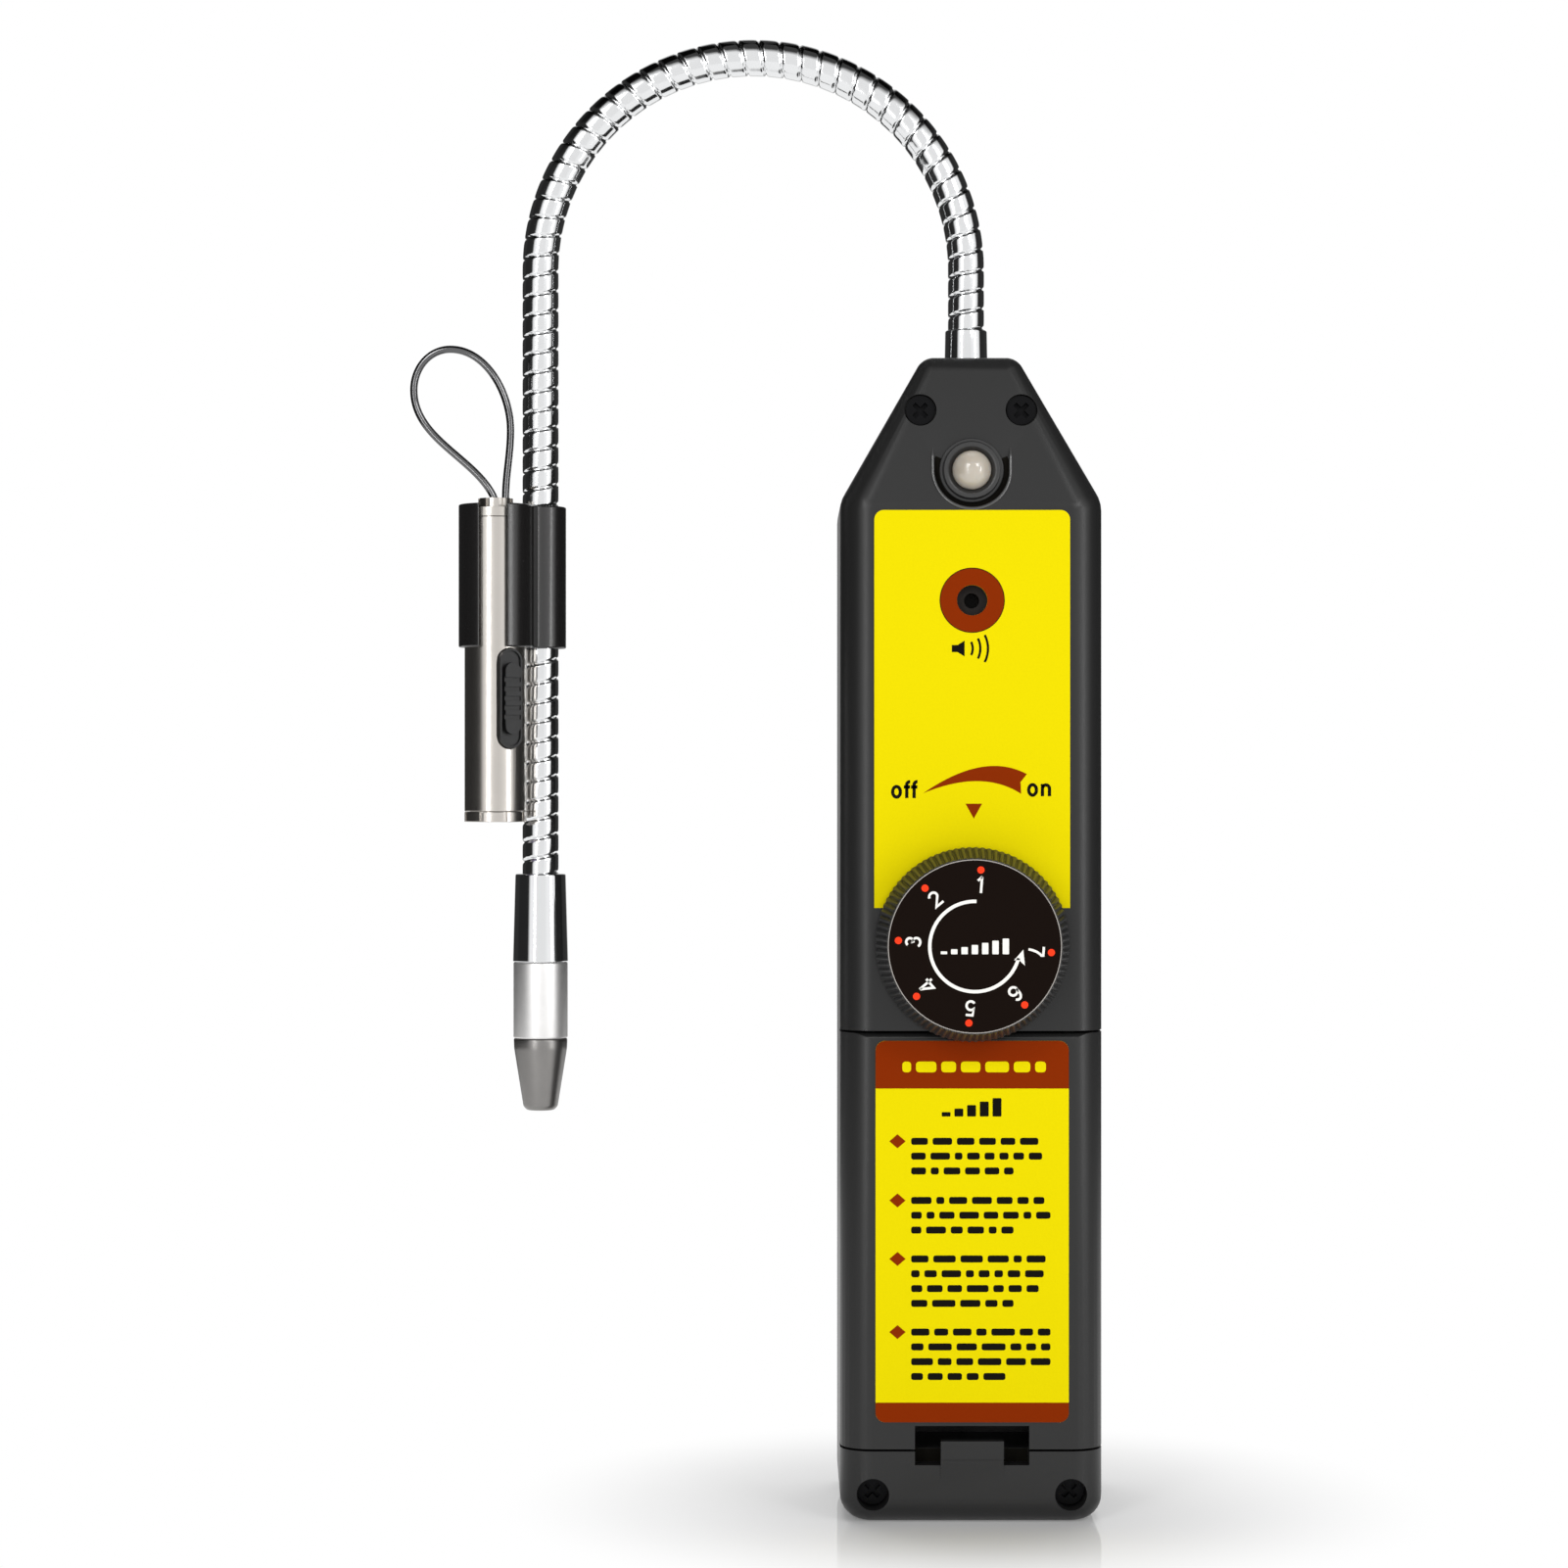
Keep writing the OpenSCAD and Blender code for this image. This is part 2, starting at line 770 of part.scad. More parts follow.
module board_screws() {
    color("#c8c8c8")
        for (sx = [-1, 1], z = [board_z + post_in, board_top - post_in])
            translate([sx * post_x, 0, z]) {
                rod_y(board_screw_r, board_y - board_screw_in, board_y + board_t + fit);
                rod_y(post_r - 0.3, board_y + board_t, board_y + board_t + board_head_t);
            }
}

module buzzer() {
    color("#151515")
        translate([0, 0, buzzer_z])
            difference() {
                rod_y(buzzer_r, board_y - buzzer_h + fit, board_y);
                rod_y(sound_hole_d / 4, board_y - buzzer_h - cut, board_y - buzzer_h / 2);
            }
}

module lamp_bezel() {
    color("#2c2c2c")
        translate([0, 0, lamp_z])
            difference() {
                union() {
                    rod_y(bezel_flange_r, pocket_y - bezel_flange_t, pocket_y);
                    rod_y(bezel_r, pocket_y - bezel_h, pocket_y);
                    rod_y(bezel_sleeve_r, pocket_y - fit, pocket_y + lamp_end);
                }
                rod_y(lamp_d / 2 + fit, pocket_y - bezel_h - cut, pocket_y + lamp_tail);
                translate([0, pocket_y - bezel_h - fit, 0])
                    rotate([-90, 0, 0])
                        cylinder(r1 = lamp_d / 2 + bezel_bevel, r2 = lamp_d / 2, h = bezel_bevel);
            }
}

module lamp_lens() {
    color("#e9e2d6")
        translate([0, 0, lamp_z]) {
            rod_y(lamp_d / 2, pocket_y - bezel_h + lamp_sink, pocket_y + lamp_end);
            translate([0, pocket_y - bezel_h + lamp_sink, 0])
                rotate([90, 0, 0])
                    rotate_extrude()
                        intersection() {
                            circle(lamp_d / 2);
                            square(lamp_d);
                        }
        }
}

// Cylindrical cells, one up and one down
module battery_cells() {
    color("#3d6ea5")
        for (sx = [-1, 1])
            translate([sx * cell_x, cell_y, tray_z + contact_t + (sx < 0 ? spring_len : 0)])
                rotate([sx < 0 ? 0 : 180, 0, 0])
                    translate([0, 0, sx < 0 ? 0 : -cell_len]) {
                        cylinder(d = cell_d, h = cell_len - button_h);
                        cylinder(d = button_d, h = cell_len);
                    }
}

// Contact plates at both ends of the tray, one pair for each cell
module battery_contacts() {
    plate_w = cell_d * 0.7;
    color("#d2d2cc")
        for (sx = [-1, 1], z = [tray_z, tray_z + tray_len - contact_t])
            translate([sx * cell_x, 0, 0])
                box(plate_w, cell_y - plate_w / 2, cell_y + plate_w / 2, z, z + contact_t);
}

// Conical springs under the flat end of each cell
module battery_springs() {
    turns = 3;
    steps = 14;
    wire_r = 0.4;
    wide_r = cell_d * 0.33;
    narrow_r = cell_d * 0.18;
    lift = spring_len - 2 * wire_r - 2 * fit;
    sides = 6;
    points = [
        for (k = [0 : turns * steps], i = [0 : sides - 1])
            let (
                t = k / (turns * steps),
                turn = k * 360 / steps,
                a = i * 360 / sides,
                r = wide_r + (narrow_r - wide_r) * t + wire_r * cos(a)
            )
                [r * cos(turn), r * sin(turn), wire_r + fit + lift * t + wire_r * sin(a)]
    ];
    color("#d2d2cc")
        for (sx = [-1, 1])
            translate([sx * cell_x, cell_y, sx < 0 ? tray_z + contact_t : tray_z + tray_len - contact_t])
                rotate([sx < 0 ? 0 : 180, 0, 0])
                    polyhedron(points, tube_faces(turns * steps + 1, sides), convexity = 6);
}

module neck_ferrule() {
    color("#cfd2d4")
        translate([0, 0, crown_z])
            rotate_extrude()
                polygon([
                    [bore_r - ferrule_lip, -wall - ferrule_nut_t],
                    [ferrule_d / 2 + ferrule_nut_w, -wall - ferrule_nut_t],
                    [ferrule_d / 2 + ferrule_nut_w, -wall],
                    [neck_r, -wall],
                    [neck_r, 0],
                    [ferrule_d / 2 + ferrule_flare, 0],
                    [ferrule_d / 2, ferrule_h - ferrule_round],
                    [neck_r + 0.2, ferrule_h],
                    [neck_r + fit, ferrule_h],
                    [neck_r + fit, ferrule_socket],
                    [bore_r - ferrule_lip, ferrule_socket]
                ]);
}

// Places children at an angle along the bend, with +Z along the neck towards the tip
module at_bend(angle) {
    translate([bend_r * (cos(angle) - 1), 0, bend_z + bend_r * sin(angle)])
        rotate([0, -angle, 0]) children();
}

// Places children on the straight leg, at a distance below the bend
module on_leg(distance) {
    translate([leg_x, 0, bend_z - distance]) rotate([0, 180, 0]) children();
}

module hose(len) {
    rotate_extrude() polygon(hose_outline(len));
}

// Curved length of banded hose between two angles of the bend
module hose_bend(from, to) {
    run = to - from;
    count = max(1, round(run * PI / 180 * bend_r / band_pitch));
    step = run / count;
    groove = groove_w / bend_r * 180 / PI;
    translate([-bend_r, 0, bend_z])
        rotate([90, 0, 0])
            difference() {
                union() {
                    rotate([0, 0, from]) bend_sweep(run, neck_r - groove_depth);
                    for (i = [0 : count - 1])
                        rotate([0, 0, from + i * step + groove / 2]) bend_sweep(step - groove, neck_r);
                }
                rotate([0, 0, from - cut]) bend_sweep(run + 2 * cut, bore_r);
            }
}

module bend_sweep(run, r) {
    rotate_extrude(angle = run) translate([bend_r, 0]) circle(r);
}

// Ring that joins a straight and a curved length, in the groove between them
module splice() {
    rotate_extrude()
        translate([bore_r + splice_in, -groove_w / 2])
            square([neck_r - groove_depth - bore_r, groove_w]);
}

// Domed end of a link, with the joint's centre at the origin and the link below it
module link_dome() {
    rotate_extrude()
        difference() {
            union() {
                polygon([[0, -link_end], [neck_r, -link_end], [neck_r, -neck_r * cone], [0, 0]]);
                intersection() {
                    circle(ball_r);
                    translate([0, -ball_r]) square([ball_r, 2 * ball_r]);
                }
            }
            translate([0, -link_end - cut]) square([wire_hole_r, 2 * link_end + 2 * ball_r]);
            translate([0, -link_end - cut]) square([bore_r, link_end + cut - ball_wall]);
        }
}

// Hollow end of the next link, which takes the dome
module link_dish() {
    rotate_extrude()
        difference() {
            polygon([[0, 0], [neck_r, neck_r * cone], [neck_r, link_end], [0, link_end]]);
            circle(ball_r + ball_gap);
            translate([0, -cut]) square([bore_r, link_end + 2 * cut]);
        }
}

module neck_root() {
    color("#cfd2d4") {
        translate([0, 0, crown_z + ferrule_socket]) hose(neck_rise - ferrule_socket);
        at_bend(0) splice();
        hose_bend(0, link_angles[0] - link_end_angle);
        at_bend(link_angles[0]) link_dome();
    }
}

// Link between two joints of the bend
module bend_link(from, to) {
    color("#cfd2d4") {
        at_bend(from) link_dish();
        hose_bend(from + link_end_angle, to - link_end_angle);
        at_bend(to) link_dome();
    }
}

module neck_rising_link() {
    bend_link(link_angles[0], link_angles[1]);
}

module neck_top_link() {
    bend_link(link_angles[1], link_angles[2]);
}

module neck_falling_link() {
    color("#cfd2d4") {
        at_bend(link_angles[2]) link_dish();
        hose_bend(link_angles[2] + link_end_angle, 180);
        on_leg(0) splice();
        on_leg(0) hose(leg_joint - link_end);
        on_leg(leg_joint) link_dome();
    }
}

module neck_leg_link() {
    color("#cfd2d4") {
        on_leg(leg_joint) link_dish();
        on_leg(leg_joint + link_end) hose(neck_leg - leg_joint - link_end + collar_socket);
    }
}

module probe_collar() {
    color("#d6d9db")
        translate([leg_x, 0, sleeve_top])
            rotate_extrude()
                polygon([
                    [sensor_r - collar_stop, 0],
                    [sleeve_d / 2 + collar_edge, 0],
                    [sleeve_d / 2 + collar_edge, collar_land],
                    [collar_top_d / 2, collar_len],
                    [neck_r + fit, collar_len],
                    [neck_r + fit, collar_len - collar_socket],
                    [sensor_r - collar_stop, collar_len - collar_socket]
                ]);
}

module sensor_sleeve() {
    color("#bcbcba")
        translate([leg_x, 0, nose_top])
            difference() {
                union() {
                    cylinder(d = sleeve_d, h = sleeve_len);
                    translate([0, 0, -spigot_len]) cylinder(r = spigot_r, h = spigot_len + cut);
                }
                translate([0, 0, -spigot_len - cut])
                    cylinder(r = sensor_r + fit, h = sleeve_len + spigot_len + 2 * cut);
            }
}

// Sensor capsule, held in the sleeve against the collar's lower face
module sensor_element() {
    color("#8a7a4a")
        translate([leg_x, 0, sleeve_top - sensor_len]) cylinder(r = sensor_r, h = sensor_len);
}

module nose_cap() {
    color("#8e8e8c")
        translate([leg_x, 0, nose_z])
            difference() {
                rotate_extrude()
                    union() {
                        polygon([
                            [0, 0],
                            [nose_d / 2 - nose_round, 0],
                            [nose_d / 2, nose_round],
                            [sleeve_d / 2, nose_len],
                            [0, nose_len]
                        ]);
                    }
                translate([0, 0, nose_len - spigot_len - fit])
                    cylinder(r = spigot_r + fit, h = spigot_len + cut);
                translate([0, 0, 2 * filter_t]) cylinder(r = nose_d / 2 - tip_wall, h = nose_len);
                translate([0, 0, -cut]) cylinder(d = inlet_d, h = nose_len);
            }
}

// Porous disc behind the gas inlet
module inlet_filter() {
    color("#d8d4c8")
        translate([leg_x, 0, nose_z + 2 * filter_t])
            cylinder(r = nose_d / 2 - tip_wall - fit, h = filter_t);
}

// Places children on the torch's axis
module on_torch(z) {
    translate([torch_x, torch_y, z]) children();
}

// Double spring clip: the torch snaps in from the front, the neck from the back
module torch_clip() {
    torch_in = torch_r + fit;
    neck_in = neck_r + clip_gap;
    reach = norm([torch_side, torch_front]);
    color("#1d1d1d")
        translate([leg_x, 0, clip_z])
            linear_extrude(clip_h)
                difference() {
                    union() {
                        translate([-torch_side, -torch_front]) circle(torch_in + clip_wall);
                        circle(neck_in + clip_wall);
                        rotate(atan2(-torch_front, -torch_side))
                            translate([0, -neck_in]) square([reach, 2 * neck_in]);
                    }
                    translate([-torch_side, -torch_front]) circle(torch_in);
                    circle(neck_in);
                    translate([-torch_side - clip_slot / 2, -torch_front - 2 * torch_r])
                        square([clip_slot, 2 * torch_r]);
                    translate([-back_slot / 2, 0]) square([back_slot, 2 * torch_r]);
                }
}

// Rounded bar lying against the torch at the switch: length along Z, from radius r0 to r1
module switch_bar(len, w, r0, r1) {
    on_torch(switch_z)
        rotate([0, 0, switch_turn])
            rotate([90, 0, 0])
                translate([0, 0, r0])
                    linear_extrude(r1 - r0) {
                        square([w, len - w], center = true);
                        for (sz = [-1, 1]) translate([0, sz * (len - w) / 2]) circle(d = w);
                    }
}

module torch_barrel() {
    color("#d6d9db")
        difference() {
            on_torch(torch_z + head_h) cylinder(r = torch_r, h = torch_len - head_h - tail_h);
            on_torch(torch_z) cylinder(r = torch_r - torch_wall, h = torch_len);
            switch_bar(switch_len + 2 * fit, switch_w + 2 * fit, 0, 2 * torch_r);
        }
}

// Notches around a ring of radius r and height h
module ring_notches(r, h) {
    for (i = [0 : notch_count - 1])
        rotate([0, 0, (i + 0.5) * 360 / notch_count])
            translate([r - ring_notch, -ring_notch, -cut])
                cube([2 * ring_notch, 2 * ring_notch, h + 2 * cut]);
}

module torch_tail_cap() {
    color("#d6d9db")
        on_torch(torch_top - tail_h)
            difference() {
                union() {
                    translate([0, 0, fit]) cylinder(r = torch_r, h = tail_h - fit);
                    translate([0, 0, -tail_plug])
                        cylinder(r = torch_r - torch_wall - fit, h = tail_plug + cut);
                    translate([0, 0, tail_h])
                        difference() {
                            cylinder(r = hang_r, h = hang_h);
                            ring_notches(hang_r, hang_h);
                        }
                }
                for (end = [loop_curves[0][0], loop_curves[3][3]])
                    translate([end[0], 0, tail_h + hang_h - loop_root - fit])
                        cylinder(r = wire_d / 2 + fit, h = loop_root + cut);
            }
}

module torch_head_ring() {
    color("#d6d9db")
        on_torch(torch_z)
            difference() {
                union() {
                    difference() {
                        cylinder(r = torch_r, h = head_h - fit);
                        ring_notches(torch_r, head_h);
                    }
                    translate([0, 0, head_h / 2])
                        cylinder(r = torch_r - torch_wall - fit, h = head_h / 2 + head_plug);
                }
                translate([0, 0, -cut]) cylinder(r = torch_r - lamp_edge, h = head_h + head_plug + 2 * cut);
                translate([0, 0, -cut]) cylinder(r = torch_r - lens_edge, h = head_h / 2 + lens_t + cut);
            }
}

module torch_lens() {
    color("#b8a8e0")
        on_torch(torch_z + head_h / 2) cylinder(r = torch_r - lens_edge - fit, h = lens_t - fit);
}

// Ultraviolet lamp with its flange on the head ring's rear edge
module torch_lamp() {
    color("#d9d4ee")
        on_torch(torch_z + head_h + head_plug) {
            cylinder(r = torch_r - torch_wall - fit, h = lamp_flange_t);
            translate([0, 0, -lamp_dome_h]) cylinder(r = lamp_dome_r, h = lamp_dome_h);
        }
}

module torch_cells() {
    color("#c2c2c2")
        on_torch(torch_top - tail_h - tail_plug - torch_cell_len)
            cylinder(r = torch_r - torch_wall - 4 * fit, h = torch_cell_len);
}

module torch_switch_plate() {
    color("#242424")
        difference() {
            switch_bar(switch_len, switch_w, plate_in, rim_out);
            switch_bar(switch_len - 2 * rim_w, switch_w - 2 * rim_w, plate_out, rim_out + cut);
            switch_bar(stem_len + 2 * (switch_travel + slide_gap), stem_w + 2 * slide_gap, 0, rim_out);
        }
}

// Thumb slide with cross ridges
module torch_slider() {
    color("#2f2f2f")
        difference() {
            union() {
                switch_bar(slider_len, slider_w, plate_out + slide_gap, slider_out);
                switch_bar(stem_len, stem_w, plate_in, plate_out + slide_gap + fit);
            }
            for (i = [-2 : 2])
                on_torch(switch_z + i * ridge_step)
                    rotate([0, 0, switch_turn])
                        translate([-slider_w, -slider_out - cut, -ridge_step / 4])
                            cube([2 * slider_w, ridge_depth + cut, ridge_step / 2]);
        }
}

// Spring wire bent to a loop, with both ends set into the tail of the torch
module torch_wire_loop() {
    root = torch_top + hang_h;
    curve = [
        for (p = loop_curves, k = [0 : loop_steps - 1]) curve_point(p, k / loop_steps)
    ];
    path = concat(
        [curve[0] - [0, loop_root]],
        curve,
        [loop_curves[3][3], loop_curves[3][3] - [0, loop_root]]
    );
    last = len(path) - 1;
    points = [
        for (k = [0 : last], i = [0 : wire_fn - 1])
            let (
                ahead = path[min(k + 1, last)] - path[max(k - 1, 0)],
                along = k == 0 || k == last ? path[min(k + 1, last)] - path[max(k - 1, 0)] : ahead,
                side = [-along[1], along[0]] / norm(along),
                a = i * 360 / wire_fn,
                p = path[k] + wire_d / 2 * cos(a) * side
            )
                [torch_x + p[0], torch_y + wire_d / 2 * sin(a), root + p[1]]
    ];
    color("#d6d9db") polyhedron(points, tube_faces(last + 1, wire_fn), convexity = 6);
}

rear_case();
front_case();
front_label();
battery_door();
door_label();
case_screws();
knob();
dial_plate();
pot_shaft();
pot_body();
pot_nut();
circuit_board();
board_screws();
buzzer();
lamp_bezel();
lamp_lens();
battery_cells();
battery_contacts();
battery_springs();
neck_ferrule();
neck_root();
neck_rising_link();
neck_top_link();
neck_falling_link();
neck_leg_link();
probe_collar();
sensor_sleeve();
sensor_element();
nose_cap();
inlet_filter();
torch_clip();
torch_barrel();
torch_tail_cap();
torch_head_ring();
torch_lens();
torch_lamp();
torch_cells();
torch_switch_plate();
torch_slider();
torch_wire_loop();
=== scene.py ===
"""Dresses the solids of a hand-held leak detector: moulded case, printed labels, ridged dial, banded neck,
sensor tip and clip-on torch, on a white studio floor. Lengths in millimetres become metres through MM."""

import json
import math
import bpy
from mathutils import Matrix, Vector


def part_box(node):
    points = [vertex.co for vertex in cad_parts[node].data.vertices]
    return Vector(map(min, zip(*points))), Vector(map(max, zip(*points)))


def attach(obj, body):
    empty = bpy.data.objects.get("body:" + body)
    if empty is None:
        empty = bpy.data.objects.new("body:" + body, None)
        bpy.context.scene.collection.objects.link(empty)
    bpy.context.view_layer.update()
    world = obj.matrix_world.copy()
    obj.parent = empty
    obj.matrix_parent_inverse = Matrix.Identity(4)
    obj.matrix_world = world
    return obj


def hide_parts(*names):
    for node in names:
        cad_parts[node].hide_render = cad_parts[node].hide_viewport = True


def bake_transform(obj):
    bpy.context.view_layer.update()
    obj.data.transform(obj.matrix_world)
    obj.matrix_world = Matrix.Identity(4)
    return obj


bl_info = {
    "name": "Leak detector",
    "version": (1, 0, 0),
    "blender": (4, 5, 0),
    "location": "View3D > Sidebar > Detector",
    "description": "Builds the visible surfaces of a leak detector over its solids",
    "category": "Add Mesh",
}

import bpy
import numpy as np
from mathutils import Vector

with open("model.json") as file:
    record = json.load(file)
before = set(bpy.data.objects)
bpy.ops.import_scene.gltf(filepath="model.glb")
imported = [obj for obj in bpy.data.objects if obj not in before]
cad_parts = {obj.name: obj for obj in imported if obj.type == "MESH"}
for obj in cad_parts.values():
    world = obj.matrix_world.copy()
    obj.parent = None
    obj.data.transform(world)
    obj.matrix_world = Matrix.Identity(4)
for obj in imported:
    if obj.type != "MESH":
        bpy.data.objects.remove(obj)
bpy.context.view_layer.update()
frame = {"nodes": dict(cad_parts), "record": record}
NODES = frame["nodes"]
MM = 0.001


def span(node):
    """Lowest and highest corner of a CAD node, in millimetres."""
    low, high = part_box(node)
    return np.array(low) / MM, np.array(high) / MM


def srgb(code):
    """Linear colour of an sRGB hex code."""
    parts = np.array([int(code[i : i + 2], 16) / 255 for i in (1, 3, 5)])
    linear = np.where(parts <= 0.04045, parts / 12.92, ((parts + 0.055) / 1.055) ** 2.4)
    return (*(float(v) for v in linear), 1.0)


# Places that the prints and surfaces share, from the frame
DOOR_LABEL_LOW, DOOR_LABEL_HIGH = span("door_label")
DIAL_LOW, DIAL_HIGH = span("dial_plate")
KNOB_LOW, KNOB_HIGH = span("knob")
LAMP_LOW, LAMP_HIGH = span("lamp_lens")
BUZZER_LOW, BUZZER_HIGH = span("buzzer")
LEG_LOW, LEG_HIGH = span("neck_leg_link")
COLLAR_LOW, COLLAR_HIGH = span("probe_collar")
NOSE_LOW, NOSE_HIGH = span("nose_cap")
BARREL_LOW, BARREL_HIGH = span("torch_barrel")
CASE_HIGH = span("rear_case")[1]

LABEL_Y = span("front_label")[0][1]
FERRULE_Z = span("neck_ferrule")[1][2]
TAIL_Z = span("torch_tail_cap")[1][2]
CROWN_Z = CASE_HIGH[2]
# The case is as deep in front of its axis as behind it
FRONT_Y = -CASE_HIGH[1]
DIAL_R = (DIAL_HIGH[0] - DIAL_LOW[0]) / 2
DIAL_Z = (DIAL_LOW[2] + DIAL_HIGH[2]) / 2
LAMP_Z = (LAMP_LOW[2] + LAMP_HIGH[2]) / 2
LEG_X = (LEG_LOW[0] + LEG_HIGH[0]) / 2
NECK_R = (LEG_HIGH[0] - LEG_LOW[0]) / 2
BEND_R = -LEG_X / 2
BEND_Z = span("neck_top_link")[1][2] - NECK_R - BEND_R
TORCH_X = (BARREL_LOW[0] + BARREL_HIGH[0]) / 2
TORCH_Y = (BARREL_LOW[1] + BARREL_HIGH[1]) / 2

# The head's front leans back by this slope, from this far below the middle of the signal lamp
HEAD_LEAN = 0.2288
LEAN_DROP = 5.64
# The sides of the lamp's pocket rise this far over the lamp's middle
POCKET_RISE = 3.9
# Inner radius of the painted shade on the pocket's floor
PAINTED_SHADE_R = 4.4
# Notch around the catch: half its width, its lower and upper edge, and its depth behind the front
NOTCH_HALF, NOTCH_LOW, NOTCH_HIGH, NOTCH_DEPTH = 8.98, 9.32, 11.43, 3.5
# Collars close on the hose inside its bands
GRIP_R = NECK_R - 0.2
# Gap that shows as a fine line between two turned pieces
SEAM = 0.02
# Height of a print that lies over another one
OVERPRINT = 0.01


def length(name, text, value, low, high):
    """A length in millimetres that a user can change."""
    return bpy.props.FloatProperty(name=name, description=text, default=value, min=low, max=high, precision=3)


def colour(name, text, code):
    """A colour that a user can change, from its sRGB hex code."""
    return bpy.props.FloatVectorProperty(
        name=name, description=text, default=srgb(code), size=4, subtype="COLOR", min=0.0, max=1.0
    )


class DetectorSizes(bpy.types.PropertyGroup):
    """Sizes of the dressed surfaces, in millimetres."""

    band_pitch: length("Band pitch", "Spacing of the neck's bands", 3.15, 1.0, 10.0)
    groove_width: length("Groove width", "Width of the grooves between the bands", 0.62, 0.1, 2.0)
    groove_depth: length("Groove depth", "Depth of those grooves", 0.42, 0.05, 0.8)
    bend_reach: length("Bend reach", "Length of hose to each side of a joint that bends", 9.0, 2.0, 15.0)
    teeth: bpy.props.IntProperty(
        name="Ridges", description="Number of ridges around the knob", default=90, min=12, max=180
    )
    tooth_depth: length("Ridge depth", "Depth of the grooves around the knob", 0.5, 0.1, 1.0)
    wire: length("Wire diameter", "Thickness of the hanging wire", 1.2, 0.5, 2.0)
    pocket: length("Pocket width", "Width of the lamp's pocket", 12.3, 8.0, 16.0)
    rim: length("Rim thickness", "Thickness of the bead along the pocket's edge", 0.55, 0.1, 1.5)
    print_lift: length("Print lift", "Height of a print above its film", 0.02, 0.005, 0.1)
    digit: length("Digit height", "Height of the figures on the dial", 2.5, 1.0, 5.0)


class DetectorColours(bpy.types.PropertyGroup):
    """Colours of the materials and prints."""

    case: colour("Case", "Dark grey housing", "#202020")
    knob: colour("Knob", "Knob's ridged skirt", "#2a2a2a")
    dial: colour("Dial", "Printed dial face", "#150d09")
    film: colour("Film", "Yellow label film", "#e5d400")
    rust: colour("Rust print", "Red-brown printing ink", "#842a00")
    ink: colour("Ink", "Black printing ink", "#12100c")
    white_ink: colour("White ink", "Figures and arrow on the dial", "#f1efe9")
    dot: colour("Dot", "Red-orange dots of the dial", "#ff4020")
    chrome: colour("Chrome", "Polished metal", "#eeeff0")
    satin: colour("Satin metal", "Sensor sleeve", "#ecebea")
    nose: colour("Nose metal", "Tapered nose", "#8c8a88")
    gloss_black: colour("Glossy black", "Spring clip", "#191818")
    lamp: colour("Lamp", "Milky signal lamp", "#d6cdbf")


SCENE_SIZES = "detector_sizes"
SCENE_COLOURS = "detector_colours"


def sizes():
    """Sizes of the scene at hand."""
    return getattr(bpy.context.scene, SCENE_SIZES)


def colours():
    """Colours of the scene at hand."""
    return getattr(bpy.context.scene, SCENE_COLOURS)


# Materials


def fill(tree, node, inputs):
    """Fills a node's inputs with values or with links from other nodes' outputs."""
    for key, value in inputs.items():
        if isinstance(value, bpy.types.NodeSocket):
            tree.links.new(value, node.inputs[key])
        else:
            node.inputs[key].default_value = value


def add(tree, kind, inputs=None, **settings):
    """Adds a node, sets its properties and fills its inputs."""
    made = tree.nodes.new(kind)
    for key, value in settings.items():
        setattr(made, key, value)
    fill(tree, made, inputs or {})
    return made


def blank(name):
    """A new material with only a Principled shader: the material, its tree, the shader, and the place on a
    piece that its patterns read."""
    material = bpy.data.materials.new(name)
    material.use_nodes = True
    tree = material.node_tree
    place = add(tree, "ShaderNodeTexCoord").outputs["Object"]
    return material, tree, tree.nodes["Principled BSDF"], place


def per_mm(size):
    """Texture scale, in cycles for each metre, of a pattern of that size in millimetres."""
    return 1.0 / (size * MM)


def shade_between(tree, factor, dark, light):
    """Colour that runs from dark to light with factor."""
    mix = add(tree, "ShaderNodeMix", {"Factor": factor, "A": dark, "B": light}, data_type="RGBA")
    return mix.outputs["Result"]


def scaled(base, gain):
    """A colour made lighter or darker by a factor."""
    return (*(min(1.0, c * gain) for c in base[:3]), 1.0)


def moulded_abs(name, base, roughness, grain, bump, shine=0.5):
    """Injection-moulded ABS: an even dark body with a fine eroded tool texture and a soft, broad
    highlight."""
    material, tree, shader, place = blank(name)
    fine = add(tree, "ShaderNodeTexNoise", {"Vector": place, "Scale": per_mm(grain), "Detail": 3.0})
    # Slow changes of tone over the moulding, about 25 mm across
    slow = add(tree, "ShaderNodeTexNoise", {"Vector": place, "Scale": per_mm(25.0), "Detail": 2.0})
    sheen = {"Value": fine.outputs["Fac"], "To Min": roughness - 0.05, "To Max": roughness + 0.05}
    relief = {"Height": fine.outputs["Fac"], "Strength": bump, "Distance": 0.02 * MM}
    finish = {
        "Base Color": shade_between(tree, slow.outputs["Fac"], scaled(base, 0.88), scaled(base, 1.12)),
        "Roughness": add(tree, "ShaderNodeMapRange", sheen).outputs["Result"],
        "Normal": add(tree, "ShaderNodeBump", relief).outputs["Normal"],
        "IOR": 1.53,
        "Specular IOR Level": shine,
    }
    fill(tree, shader, finish)
    return material


def printed_film(name, base, roughness):
    """Screen-printed polyester film: an even opaque ink under a satin skin with a faint screen grain."""
    material, tree, shader, place = blank(name)
    grain = add(tree, "ShaderNodeTexNoise", {"Vector": place, "Scale": per_mm(0.35), "Detail": 2.0})
    relief = {"Height": grain.outputs["Fac"], "Strength": 0.05, "Distance": 0.01 * MM}
    finish = {
        "Base Color": shade_between(tree, grain.outputs["Fac"], scaled(base, 0.96), scaled(base, 1.03)),
        "Roughness": roughness,
        "Normal": add(tree, "ShaderNodeBump", relief).outputs["Normal"],
        "IOR": 1.5,
        "Specular IOR Level": 0.03,
    }
    fill(tree, shader, finish)
    return material


